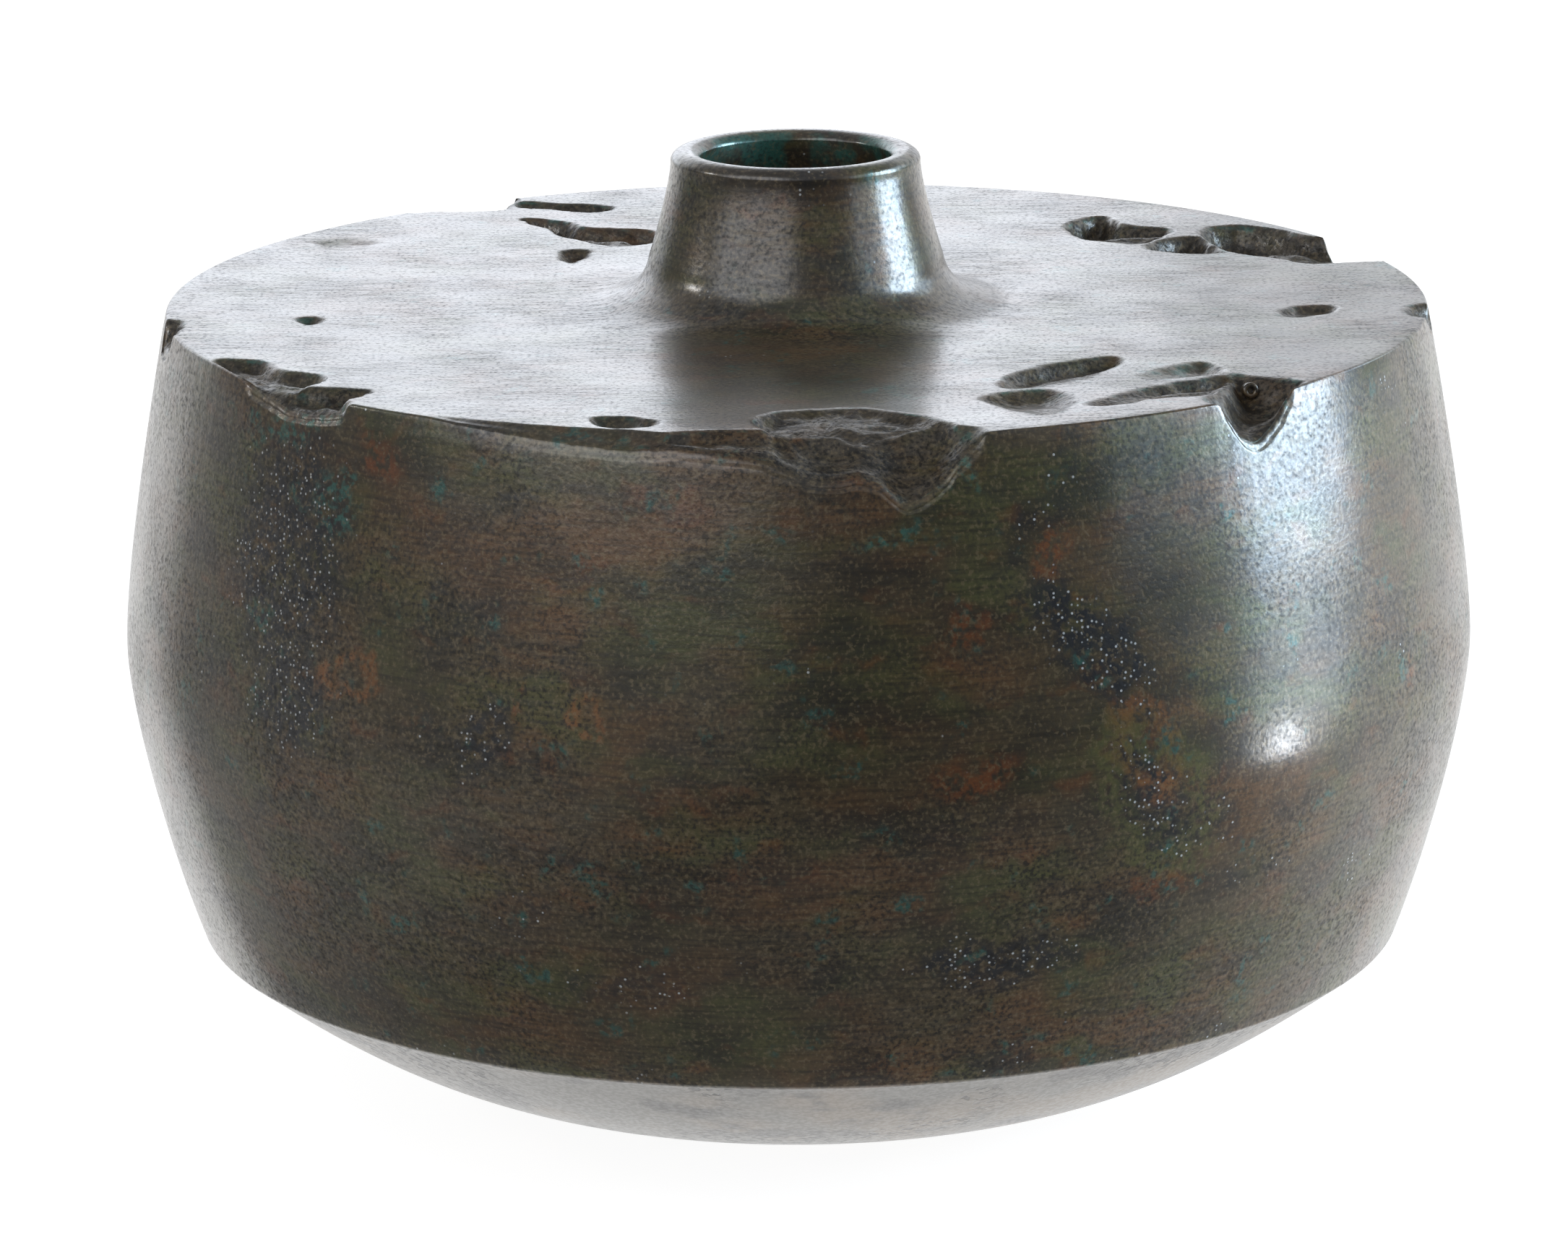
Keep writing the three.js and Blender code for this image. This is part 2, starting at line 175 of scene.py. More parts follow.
# %% Measures of the neck and the inside
LIP_R = 24.3
LIP_ROUND = (3.3, 2.4)
LIP_H = 31.5
LIP_ARC = (172, -10)
LIP_STEPS = 18
NECK_HANDLES = ((28, 25.5), (31, 15))
NECK_FOOT_R = 32.6
NECK_FOOT_H = 10
FLARE_HANDLES = ((33.6, 4.6), (37.5, 0.5))
NECK_FLARE_R = 48
NECK_STEPS = 14
WALL = 5.5
SHOULDER_T = 6
SEAT_R = 125
SEAT_TOP_Z = 41
SEAT_BLEND_Z = 48
CEILING_BEND = 12
CEILING_CORNER = (2, 4)
CEILING_ROW = 7
THROAT_BEND = 8
THROAT_CORNER = (2, 1)
INSIDE_HEIGHTS = (SEAT_BLEND_Z, 72, BELLY_Z, 130, SHOULDER_Z - SHOULDER_T - CEILING_BEND)


def inside_line():
    """The inside of the body, from the seat of the bottom up to the throat."""
    wall = [(wall_radius(z) - WALL, z) for z in INSIDE_HEIGHTS]
    ceiling = SHOULDER_Z - SHOULDER_T
    top = RIM_R - WALL
    throat = NECK_FOOT_R - 2 * LIP_ROUND[0]
    radii = np.arange(top - CEILING_BEND, throat + THROAT_BEND, -CEILING_ROW)
    under = np.column_stack([radii, np.full(len(radii), ceiling)])
    return np.array([
        (SEAT_R, JOINT[1]),
        (SEAT_R, SEAT_TOP_Z),
        *wall,
        (top - CEILING_CORNER[0], ceiling - CEILING_CORNER[1]),
        *under,
        (throat + THROAT_CORNER[0], SHOULDER_Z + THROAT_CORNER[1]),
        (throat, SHOULDER_Z + NECK_FOOT_H),
    ])


print("inside line:", len(inside_line()), "points")

# %% [markdown]
# ## Sections
# A founder would turn the core and the wax on a strickle board, so a spun section is also the
# honest way to model them. The body's section is one closed line: over the lip, down the neck,
# across the shoulder, down the wall, and back up inside. Spun round, it is one closed shell. Edges
# that are really sharp are marked before the tears are carved, so the carved slopes stay smooth.

# %% Draw the body's section and spin it
RIM_EDGE = 0.7
RIM_EDGE_STEPS = 4
ROW = 3.5
PLATE_END = 2
WALL_START = 1.5
AROUND = 200
SHARP_ANGLE = 32


def body_section():
    """The neck, shoulder and wall in one closed line of radius and height."""
    lip = arc((LIP_R, LIP_H), LIP_ROUND, *LIP_ARC, LIP_STEPS)
    foot = (NECK_FOOT_R, NECK_FOOT_H)
    side = bezier(lip[-1], *NECK_HANDLES, foot, NECK_STEPS)[1:]
    flare = bezier(foot, *FLARE_HANDLES, (NECK_FLARE_R, 0), NECK_STEPS)[1:]
    neck = np.vstack([lip, side, flare]) + (0, SHOULDER_Z)
    radii = np.arange(NECK_FLARE_R + ROW, RIM_R - PLATE_END, ROW)
    plate = np.column_stack([radii, np.full(len(radii), SHOULDER_Z)])
    centre = (RIM_R - RIM_EDGE, SHOULDER_Z - RIM_EDGE)
    edge = arc(centre, (RIM_EDGE, RIM_EDGE), 90, RIM_LEAN, RIM_EDGE_STEPS)
    wall = WALL_LINE[WALL_LINE[:, 1] < SHOULDER_Z - WALL_START]
    return np.vstack([neck, plate, edge, wall, inside_line()])


def spun(section, steps, closed=True):
    """A section of radius and height, turned once about the vase's axis."""
    bm = bmesh.new()
    line = [bm.verts.new((r * MM, 0, z * MM)) for r, z in section]
    edges = [bm.edges.new(pair) for pair in zip(line, line[1:])]
    if closed:
        edges.append(bm.edges.new((line[-1], line[0])))
    bmesh.ops.spin(
        bm, geom=line + edges, cent=(0, 0, 0), axis=(0, 0, 1), dvec=(0, 0, 0),
        angle=math.tau, steps=steps, use_merge=True, use_duplicate=False,
    )
    bmesh.ops.remove_doubles(bm, verts=bm.verts, dist=0.001 * MM)
    bmesh.ops.recalc_face_normals(bm, faces=bm.faces)
    for edge in bm.edges:
        edge.smooth = edge.calc_face_angle(0) < math.radians(SHARP_ANGLE)
    return bm


body = spun(body_section(), AROUND)
print("body blank:", len(body.faces), "faces")

# %% [markdown]
# ## Where the wax was torn
# Each hollow is an outline seen from above, a floor depth, the width of its sloping side and how
# much its floor drops for each millimetre towards +x and +y. A floor that drops towards one side
# and rises to nothing on the other is a scoop, which is how a finger leaves soft wax.

# %% List the hollows
HOLLOWS = {
    "front gully": (3, 1.4, (0, -0.16), [
        (-9, -119), (-5, -113), (5, -111), (13, -110), (18, -112), (28, -120), (33, -128),
        (36, -150), (-4, -150), (-6, -136), (-8, -127)]),
    "front strip": (2.4, 1.2, (0.03, 0.1), [
        (-29, -134), (-21, -131), (-15, -130.5), (-8, -130), (-2, -132), (-1, -148), (-30, -148)]),
    "front leaf": (1.5, 1.2, (0, 0.22), [
        (-43, -118), (-38, -117), (-33, -118), (-27, -122), (-29, -127), (-36, -130), (-41, -126)]),
    "left chip": (2.3, 1.2, (0.06, 0.1), [
        (-124, -58), (-117, -60), (-113, -62), (-111, -68), (-107, -72), (-99, -77),
        (-100, -84), (-104, -88), (-108, -104), (-134, -76)]),
    "left chip step": (3.6, 1.4, (0, 0.1), [
        (-110, -87), (-100, -88), (-93, -90), (-87, -91), (-91, -96), (-94, -102),
        (-98, -112), (-116, -98)]),
    "right upper hollow": (1.9, 2.1, (-0.16, 0.19), [
        (41, -89), (44, -80), (50, -72), (57, -66), (63, -62), (69, -61), (70, -67),
        (65, -77), (59, -86), (51, -92), (44, -94)]),
    "right lower hollow": (1.6, 3.2, (0, 0.11), [
        (36, -101), (42, -96), (50, -92.5), (55, -95), (58, -103), (58, -110), (54, -117),
        (49, -120), (44, -115), (40, -108)]),
    "right cleft": (1.7, 1.9, (-0.05, 0.13), [
        (59, -107), (66, -100), (73, -92), (80, -86), (92, -79), (90, -90), (86, -102),
        (79, -102), (73, -104), (67, -109), (61, -111)]),
    "right leaf": (1.2, 2.6, (0.07, 0.1), [
        (70, -81), (76, -74), (82, -68), (87, -66), (91, -76), (87, -80), (80, -83), (73, -85)]),
    "right notch": (7.4, 4, (0, -0.08), [
        (84, -104), (88, -92), (90, -81), (92, -78), (96, -82), (105, -86), (107, -92),
        (114, -108), (100, -122), (85, -112)]),
    "left nick": (4.4, 2.5, (0, 0), [
        (-134, -18), (-133, -27), (-135, -36), (-146, -39), (-148, -15)]),
    "left pit": (1.3, 1.2, (0, 0.22), [
        (-111, -17), (-107, -14.5), (-103, -17), (-104, -22), (-107, -25), (-109, -21)]),
    "left dish": (0.8, 5, (0, 0), [
        (-117, 69), (-108, 75), (-97, 74), (-92, 66), (-99, 59), (-110, 58)]),
    "right pit": (1.5, 1.6, (0, 0.18), [
        (104, -18), (109, -9), (115, -8.5), (120, -10), (117, -17), (112, -23), (107, -23)]),
    "right nick": (2.6, 2.5, (0, 0), [
        (133, -13), (136, -9), (146, -8), (145, -27), (135, -23), (132, -18)]),
    "back right folds": (3.2, 1.4, (0, 0.17), [
        (62, 85), (67, 92), (73, 97), (75, 86), (81, 82), (89, 78), (85, 70), (80, 60),
        (72, 64), (65, 68)]),
    "back right cliff": (3.2, 1.4, (0, 0.15), [
        (79, 58), (85, 67), (90, 70), (95, 69), (97, 58), (100, 51), (91, 50), (84, 52)]),
    "back right tear": (4.2, 1.6, (0.06, 0.14), [
        (94, 79), (101, 83), (107, 81), (112, 77), (117, 70), (121, 66.5), (130, 68),
        (143, 48), (133, 39.5), (118, 36), (112, 42), (106, 47), (101, 50), (97, 57), (95, 68)]),
    "back right break": (8.5, 3, (0, 0), [
        (118, 46), (124, 53), (137, 54), (141, 42), (131, 38.5), (120, 38)]),
    "back left lobe": (2.8, 1.4, (0, 0.15), [
        (-67, 110), (-66, 119), (-61, 117), (-55, 114.5), (-46, 113), (-42, 108), (-46, 104.5),
        (-52, 105), (-58, 109)]),
    "back left tear": (3.8, 1.4, (0, 0.17), [
        (-66, 99), (-62, 90), (-58, 86), (-56, 76), (-51, 71), (-44, 63), (-33, 64),
        (-31, 82), (-42, 83.5), (-50, 86), (-54, 93), (-60, 97)]),
    "back left pit": (1.7, 1.8, (0, 0.14), [
        (-56, 56), (-52, 60), (-46, 60), (-47, 53), (-50, 41), (-53, 43)]),
    "back left break": (7, 2.5, (0, 0), [
        (-105, 97), (-99, 103), (-90, 105), (-80, 106), (-72, 107.5), (-67.5, 110),
        (-66.5, 132), (-88, 126), (-110, 106)]),
    "back nick": (3.5, 2, (0, 0), [
        (39, 134), (45, 131), (51, 131), (55, 142), (40, 144)]),
}
print(len(HOLLOWS), "hollows")

# %% [markdown]
# ## Where the rim is broken
# On the side that the photograph shows, the wall's broken top was measured along the rim. Each
# entry is an azimuth in degrees from the front towards the right, how far the edge lies below the
# shoulder there, and how far inward its slope runs. The number before each list says how hollow the
# slope is: at 1 it is straight, and above that it is steep first and level at the rim.

# %% List the broken stretches of the rim
BROKEN_RIM = {
    "front shelf": (3, [
        (-36, 0, 2), (-33, 0, 2), (-30, 0.5, 2.5), (-24, 1.1, 3.5), (-18, 1.9, 4.5), (-14.7, 2.4, 5),
        (-12, 2.1, 4), (-10, 1.8, 4)]),
    "front bite": (1.7, [
        (-10, 1.8, 4), (-6.6, 2.7, 4), (-3.4, 3.5, 5), (-1.9, 4.4, 7), (-0.3, 6.3, 8), (1.3, 8, 10),
        (3.2, 8.1, 11), (5.2, 7.3, 11), (6.8, 8.8, 12), (8.3, 12.3, 13), (9.1, 13.3, 13),
        (10.7, 11.6, 12), (12.4, 8.5, 11), (13.3, 5.7, 9), (14.5, 3.5, 8), (15.4, 1.3, 6),
        (16, 0.2, 5), (18, 0, 3)]),
    "left chip": (2, [
        (-69, 0, 2), (-61.7, 0, 2), (-57, 0.6, 2), (-55.5, 1.2, 2), (-52.8, 2.1, 3), (-49.4, 3.8, 3),
        (-47.6, 3.6, 3), (-45.9, 3.3, 3), (-43.9, 2.6, 3), (-42.3, 1.7, 2), (-41.8, 0, 2),
        (-38.5, 0, 2)]),
    "right notch": (1.5, [
        (35, 0, 3), (38.3, 0, 3), (39, 0.7, 3), (39.7, 3.2, 4), (40.8, 7.2, 4), (42, 9, 5),
        (43.2, 8.6, 5), (44.6, 6.6, 5), (45.8, 4.6, 4), (46.8, 2.2, 3), (47.8, 0.3, 2), (52, 0, 2)]),
}
print(sum(len(stretch) for _, stretch in BROKEN_RIM.values()), "measured places on the broken rim")

# %% [markdown]
# ## Folds
# Between two scoops the wax was pushed up into a soft crest, and these lines say where. Each has a
# height, a width and the points that it runs through, all in millimetres.

# %% List the crests
CRESTS = [
    (1.8, 2, [(-2, -129), (6, -130), (14, -132), (20, -130), (26, -125), (31, -121)]),
    (1.4, 1.6, [(-7, -128), (-3, -131), (0, -136)]),
    (0.9, 1.6, [(9, -137), (15, -140), (20, -144)]),
    (1, 1.5, [(8, -122), (13, -125), (19, -124), (25, -121)]),
    (0.9, 1.4, [(-121, -60), (-116, -65), (-110, -69)]),
    (1, 1.5, [(-115, -73), (-108, -81), (-102, -84)]),
    (0.8, 1.4, [(-104, -92), (-98, -97), (-93, -96)]),
    (0.9, 1.6, [(62, -106), (72, -98), (84, -92)]),
    (0.7, 1.3, [(66, -104), (77, -97), (88, -88)]),
    (1.2, 2, [(106, 58), (112, 62), (118, 60)]),
    (1.2, 2, [(70, 72), (78, 76), (86, 74)]),
    (1.2, 1.8, [(-60, 88), (-50, 80), (-40, 74)]),
]
print(len(CRESTS), "crests")

# %% [markdown]
# ## Shaping a tear
# A relief is a height for every point seen from above, so the tears are carved by moving the
# shell's own points down. That takes two measures: how far a point lies inside an outline, and
# smooth noise with bumps of a known size.

# %% Distances and noise
CORNER_ROUNDS = 2


def softened(outline):
    """An outline with its corners cut, and the new corners cut again."""
    points = np.array(outline, float)
    for _ in range(CORNER_ROUNDS):
        ahead = np.roll(points, -1, axis=0)
        points = np.stack([0.75 * points + 0.25 * ahead, 0.25 * points + 0.75 * ahead], 1).reshape(-1, 2)
    return points


def distance_to(points, starts, ends):
    """The distance from each point to the nearest of some straight stretches."""
    nearest = np.full(len(points), 1e9)
    for a, b in zip(starts, ends):
        along = b - a
        share = np.clip(((points - a) @ along) / max(along @ along, 1e-9), 0, 1)
        nearest = np.minimum(nearest, np.linalg.norm(points - a - share[:, None] * along, axis=1))
    return nearest


def inside_distance(points, outline):
    """How far each point lies inside an outline, in millimetres, and below zero outside."""
    ends = np.roll(outline, -1, axis=0)
    inside = np.zeros(len(points), bool)
    for a, b in zip(outline, ends):
        crosses = (a[1] > points[:, 1]) != (b[1] > points[:, 1])
        rise = b[1] - a[1] if b[1] != a[1] else 1e-9
        inside ^= crosses & (points[:, 0] < a[0] + (b[0] - a[0]) * (points[:, 1] - a[1]) / rise)
    nearest = distance_to(points, outline, ends)
    return np.where(inside, nearest, -nearest)


def noise_at(points, size, seed, octaves=3):
    """Smooth noise from about -1 to 1, with bumps of the given size in millimetres."""
    values = [noise.fractal(Vector((x / size + seed, y / size, seed)), 1, 2, octaves) for x, y in points]
    return np.array(values)


def smooth(t):
    """An even step from 0 to 1 with soft ends."""
    t = np.clip(t, 0, 1)
    return t * t * (3 - 2 * t)


print("the front gully's outline has", len(softened(HOLLOWS["front gully"][-1])), "points")

# %% [markdown]
# The measured drops of the rim are joined up by straight stretches, which would show as corners. So
# they are laid out every tenth of a degree, smoothed over about one degree and given a small ripple.

# %% The edge of the broken rim
RIM_REACH = 80
RIM_FINE = 0.1
RIM_SOFT = 1
RIM_RIPPLE_SIZE = 2.5
RIM_RIPPLE = 0.25
FULL_DEPTH = 2


def broken_edge(azimuths):
    """The measured drop of the broken rim, its slope's width and hollow, and where it was measured."""
    degrees = np.degrees(azimuths)
    fine = np.arange(-RIM_REACH, RIM_REACH, RIM_FINE)
    window = np.hanning(round(RIM_SOFT / RIM_FINE) + 3)
    all_drops = np.zeros(len(fine))
    width = np.ones(len(degrees))
    hollow = np.ones(len(degrees))
    measured = np.zeros(len(degrees), bool)
    for bowl, stretch in BROKEN_RIM.values():
        angle, depth, reach = np.array(stretch).T
        all_drops = np.maximum(all_drops, np.interp(fine, angle, depth, 0, 0))
        here = (degrees >= angle[0]) & (degrees <= angle[-1])
        width[here] = np.interp(degrees[here], angle, reach)
        hollow[here] = bowl
        measured |= here
    drop = np.interp(degrees, fine, np.convolve(all_drops, window / window.sum(), "same"))
    ripple = [noise.fractal(Vector((a * RIM_R / RIM_RIPPLE_SIZE, 0, 0)), 1, 2, 3) for a in azimuths]
    drop += RIM_RIPPLE * np.array(ripple) * np.clip(drop / FULL_DEPTH, 0, 1)
    return drop, width, hollow, measured


drops = broken_edge(np.radians(np.arange(-RIM_REACH, RIM_REACH)))[0]
print("deepest drop of the broken rim:", round(float(drops.max()), 1), "mm")

# %% [markdown]
# The side of a tear is a soft step from its outline inwards, and its floor slopes and ripples. Noise
# bends the outline first, so that no side is straight. Near the broken edge the depth eases over to
# the measured one, so that a hollow and the edge meet without a step.

# %% Depth of the torn places
OUTLINE_NOISE = [(7, 0.9, (3.1, 8.7), 3), (2.8, 0.45, (5.3, 9.9), 2)]
RIPPLE_SIZE = 5
FINE_RIPPLE_SIZE = 2.2
RIPPLE = 0.22
RIPPLE_DEPTH = 3
SIDE_SOFT = 1.6
TORN_EDGE = 0.4
TORN_FROM = 0.8
RIM_TORN_FROM = 1.6


def ragged(points):
    """Points moved about by noise, so that an outline seen from them has no straight side."""
    moved = points.copy()
    for size, reach, seeds, octaves in OUTLINE_NOISE:
        moved += reach * np.column_stack([noise_at(points, size, seed, octaves) for seed in seeds])
    return moved


def torn_depth(points):
    """Depth below the shoulder, and how torn the surface is from 0 to 1, at points seen from above."""
    depth = np.zeros(len(points))
    torn = np.zeros(len(points))
    bent = ragged(points)
    ripple = noise_at(points, RIPPLE_SIZE, 1.7) + 0.5 * noise_at(points, FINE_RIPPLE_SIZE, 4.4, 2)
    for floor, edge, drop, outline in HOLLOWS.values():
        slope = (points - np.mean(outline, axis=0)) @ np.array(drop)
        reach = inside_distance(bent, softened(outline))
        bumps = RIPPLE * min(floor, RIPPLE_DEPTH) * ripple
        here = np.clip(floor + slope + bumps, 0, None) * smooth(reach / (SIDE_SOFT * edge))
        depth = np.maximum(depth, here)
        torn = np.maximum(torn, smooth(reach / edge + TORN_EDGE) * np.clip(floor - TORN_FROM, 0, 1))
    for height, width, line in CRESTS:
        line = np.array(line, float)
        near = np.exp(-((distance_to(bent, line[:-1], line[1:]) / width) ** 2))
        depth -= height * near * np.clip(depth / FULL_DEPTH, 0, 1)
    return depth, torn


def plate_depth(points):
    """As torn_depth, eased over to the measured drop near the broken edge."""
    depth, torn = torn_depth(points)
    drop, width, hollow, measured = broken_edge(np.arctan2(points[:, 0], -points[:, 1]))
    inward = wall_radius(SHOULDER_Z - drop) - np.hypot(points[:, 0], points[:, 1])
    share = 1 - np.clip(inward / width, 0, 1) ** hollow
    share = np.where(measured, share, 0)
    torn = np.maximum(torn, share * np.clip(drop - RIM_TORN_FROM, 0, 1))
    return depth * (1 - share) + drop * share, torn


middle_of_gully = np.mean(HOLLOWS["front gully"][-1], axis=0)[None, :]
print("depth in the middle of the front gully:", round(float(torn_depth(middle_of_gully)[0][0]), 1), "mm")

# %% [markdown]
# ## Finer points where it matters
# Faces well under a millimetre all over would be far too heavy, and most of the drum is smooth. So
# only the faces in and around a torn place are cut, each into six both ways, to about 0.6 by 0.7 mm.
# The grid fill keeps them neat squares.

# %% Refine the torn places
MARGIN = 3.5
BROKEN_DEEP = 24
SLOPE_REACH = 14
SKIN_BAND = 2
LEVEL = 0.1
CUTS = 5


def near_tear(faces):
    """The faces whose middle lies in a torn place, or within the margin of one."""
    middles = np.array([f.calc_center_median() for f in faces]) / MM
    radius = np.hypot(middles[:, 0], middles[:, 1])
    plan = middles[:, :2] * (RIM_R / np.maximum(radius, RIM_R))[:, None]
    near = broken_edge(np.arctan2(middles[:, 0], -middles[:, 1]))[3] & (radius > RIM_R - SLOPE_REACH)
    for _, _, _, outline in HOLLOWS.values():
        near |= inside_distance(plan, softened(outline)) > -MARGIN
    outer = radius > wall_radius(middles[:, 2]) - SKIN_BAND
    below_top = middles[:, 2] < SHOULDER_Z + LEVEL
    top = (middles[:, 2] > SHOULDER_Z - LEVEL) & below_top
    side = outer & (middles[:, 2] > SHOULDER_Z - BROKEN_DEEP) & below_top
    near &= top | side
    return [f for f, wanted in zip(faces, near) if wanted]


chosen = near_tear(list(body.faces))
torn_edges = list(dict.fromkeys(e for f in chosen for e in f.edges))
bmesh.ops.subdivide_edges(body, edges=torn_edges, cuts=CUTS, use_grid_fill=True)
print("refined", len(chosen), "faces; the body now has", len(body.faces))

# %% [markdown]
# ## Carving
# The shoulder's points go straight down. At a broken edge the wall's top has to come down too, so
# it is first worked out how far it drops all round. The wall leans, so a lower edge is also a wider
# one, and a few rounds of trying settle the two together.

# %% How far the rim drops
SETTLE_ROUNDS = 12
EDGE_ROUND = 2.4
EDGE_ROUND_DROP = 1.5


def edge_drop(azimuths):
    """How far the wall's top lies below the shoulder at each azimuth."""
    listed, _, _, measured = broken_edge(azimuths)
    drop = np.zeros(len(azimuths))
    for _ in range(SETTLE_ROUNDS):
        radius = wall_radius(SHOULDER_Z - drop)
        plan = np.column_stack([radius * np.sin(azimuths), -radius * np.cos(azimuths)])
        drop = 0.5 * drop + 0.5 * torn_depth(plan)[0]
    return np.where(measured, listed, drop)


def edge_round(drop):
    """The radius of the rounding along the edge, which is next to nothing where the rim is whole."""
    return EDGE_ROUND * smooth(drop / EDGE_ROUND_DROP) + 0.01


print("rounding of an edge that drops 1 mm:", round(float(edge_round(1)), 2), "mm")

# %% [markdown]
# The wall's upper rows slide down along the wall's own curve, and the shoulder's last rows move out
# to meet them. The broken edge itself is round, as wax is where a thumb has pushed it down: the last
# points of the shoulder and of the wall each take one half of a quarter circle.

# %% Carve the wall and the shoulder
RIM_BAND = 16
CALM = 20
WAVE = 0.2
WAVE_SIZE = 26


def carved_wall(place, drop):
    """The wall's upper points, slid down to the broken edge and laid on its rounding."""
    radius = np.hypot(place[:, 0], place[:, 1])
    height = place[:, 2]
    low = SHOULDER_Z - BROKEN_DEEP
    edge_height = SHOULDER_Z - drop
    new_height = low + (height - low) * (edge_height - low) / (SHOULDER_Z - low)
    inset = wall_radius(height) - radius
    new_radius = wall_radius(new_height) - inset
    round_r = edge_round(drop)
    bend = np.radians(45 * (1 + np.clip((edge_height - new_height) / round_r, 0, 1)))
    rounding = bend < np.radians(90)
    bent_radius = wall_radius(edge_height) - round_r * (1 - np.sin(bend))
    new_radius = np.where(rounding, np.minimum(new_radius, bent_radius), new_radius)
    new_height = np.where(rounding, edge_height - round_r * (1 - np.cos(bend)), new_height)
    return np.column_stack([place[:, :2] * (new_radius / radius)[:, None], new_height])


def carved_shoulder(place, drop):
    """The shoulder's points with the tears pressed in, and how torn each one is."""
    radius = np.hypot(place[:, 0], place[:, 1])
    edge_radius = wall_radius(SHOULDER_Z - drop)
    out = (edge_radius - RIM_R) * np.clip((radius - (RIM_R - RIM_BAND)) / RIM_BAND, 0, 1) ** 1.5
    plan = place[:, :2] * ((radius + out) / radius)[:, None]
    depth, torn = plate_depth(plan)
    inland = smooth((radius - NECK_FLARE_R) / CALM) * smooth((RIM_R - radius) / CALM)
    wave = WAVE * inland * (1 + noise_at(plan, WAVE_SIZE, 6.4, 2))
    round_r = edge_round(drop)
    bend = np.radians(45 * np.clip(1 - (edge_radius - radius - out) / round_r, 0, 1))
    pulled = edge_radius - round_r + round_r * np.sin(bend)
    share = np.where(bend > 0, pulled / (radius + out), 1)
    height = place[:, 2] - (depth + wave + round_r * (1 - np.cos(bend)))
    return np.column_stack([plan * share[:, None], height]), torn


print("the shoulder dips by up to", 2 * WAVE, "mm here and there, as a cast plate does")

# %% [markdown]
# The inside below a tear is lowered as far as the tear is deep, so the metal keeps its thickness,
# much as in the CAD solid. Each point of the casting belongs to the wall's top, the shoulder, the inside
# below it, or to the rest, which stays where it is.

# %% Carve the body
PLATE_LEVEL = (-0.05, 0.5)
INSIDE_FROM = 140
INSIDE_BELOW = 2


def thickened(place):
    """The inside's points below the shoulder, lowered under the tears."""
    share = (place[:, 2] - INSIDE_FROM) / (SHOULDER_Z - SHOULDER_T - INSIDE_FROM)
    lower = plate_depth(place[:, :2])[0].clip(0) * share.clip(0, 1)
    return np.column_stack([place[:, :2], place[:, 2] - lower])


def carve(mesh):
    """Moves a casting's points and returns how torn each one is."""
    place = np.zeros(len(mesh.vertices) * 3)
    mesh.vertices.foreach_get("co", place)
    place = place.reshape(-1, 3) / MM
    radius = np.hypot(place[:, 0], place[:, 1])
    azimuth = np.arctan2(place[:, 0], -place[:, 1])
    height = place[:, 2].copy()
    ring = np.unique(np.round(azimuth, 5))
    drop = np.interp(azimuth, ring, edge_drop(ring))

    outer = radius > wall_radius(height) - SKIN_BAND
    flat = (height > SHOULDER_Z + PLATE_LEVEL[0]) & (height < SHOULDER_Z + PLATE_LEVEL[1])
    plate = flat & (radius > NECK_FLARE_R - 1)
    side = outer & ~plate & (height > SHOULDER_Z - BROKEN_DEEP)
    under = (height > INSIDE_FROM) & (height < SHOULDER_Z - INSIDE_BELOW) & ~outer & (radius > NECK_FLARE_R)
    torn = np.zeros(len(place))
    place[side] = carved_wall(place[side], drop[side])
    place[plate], torn[plate] = carved_shoulder(place[plate], drop[plate])
    place[under] = thickened(place[under])
    mesh.vertices.foreach_set("co", (place * MM).ravel())
    mesh.update()
    return torn


def piece_of(name, bm):
    """A mesh object made from a bmesh."""
    mesh = bpy.data.meshes.new(name)
    bm.to_mesh(mesh)
    bm.free()
    obj = bpy.data.objects.new(name, mesh)
    bpy.context.scene.collection.objects.link(obj)
    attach(obj, "root")
    return obj


for face in body.faces:
    face.smooth = True
body_skin = piece_of("body_skin", body)
torn = carve(body_skin.data)
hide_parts("body_casting")
print("body skin:", len(body_skin.data.polygons), "faces,", int((torn > 0.5).sum()), "torn points")

# %% [markdown]
# Warm wax has no hard steps, so the torn points are eased towards their neighbours, which rounds
# the lips and the feet of the slopes. How torn each point is stays on the mesh as a named
# attribute, and the material reads it.

# %% Soften the tears and keep them as an attribute
EASE_ROUNDS = 4

bm = bmesh.new()
bm.from_mesh(body_skin.data)
bm.verts.ensure_lookup_table()
eased = [bm.verts[i] for i in np.nonzero(torn > 0.05)[0]]
for _ in range(EASE_ROUNDS):
    bmesh.ops.smooth_vert(bm, verts=eased, factor=0.5, use_axis_x=True, use_axis_y=True, use_axis_z=True)
bm.to_mesh(body_skin.data)
bm.free()
tear_map = body_skin.data.attributes.new("torn", "FLOAT", "POINT")
tear_map.data.foreach_set("value", torn.astype(np.float32))
print("eased", len(eased), "points")

# %% [markdown]
# ## The stub of a vent
# In the notch at the right, a little round stub with a pin hole sticks out of the metal. It looks
# like the end of a thin vent of the casting, broken off and never filed away. It is a short ring
# with rounded edges, spun like the castings and then turned to face out of the notch.

# %% Build the stub
STUB_R = 1.7
STUB_HOLE_R = 0.6
STUB_LONG = 3
STUB_ROUND = 0.45
STUB_STEPS = 28
STUB_PLACE = (94.8, -85, 171.3)
STUB_LEAN = 78
STUB_TURN = 8

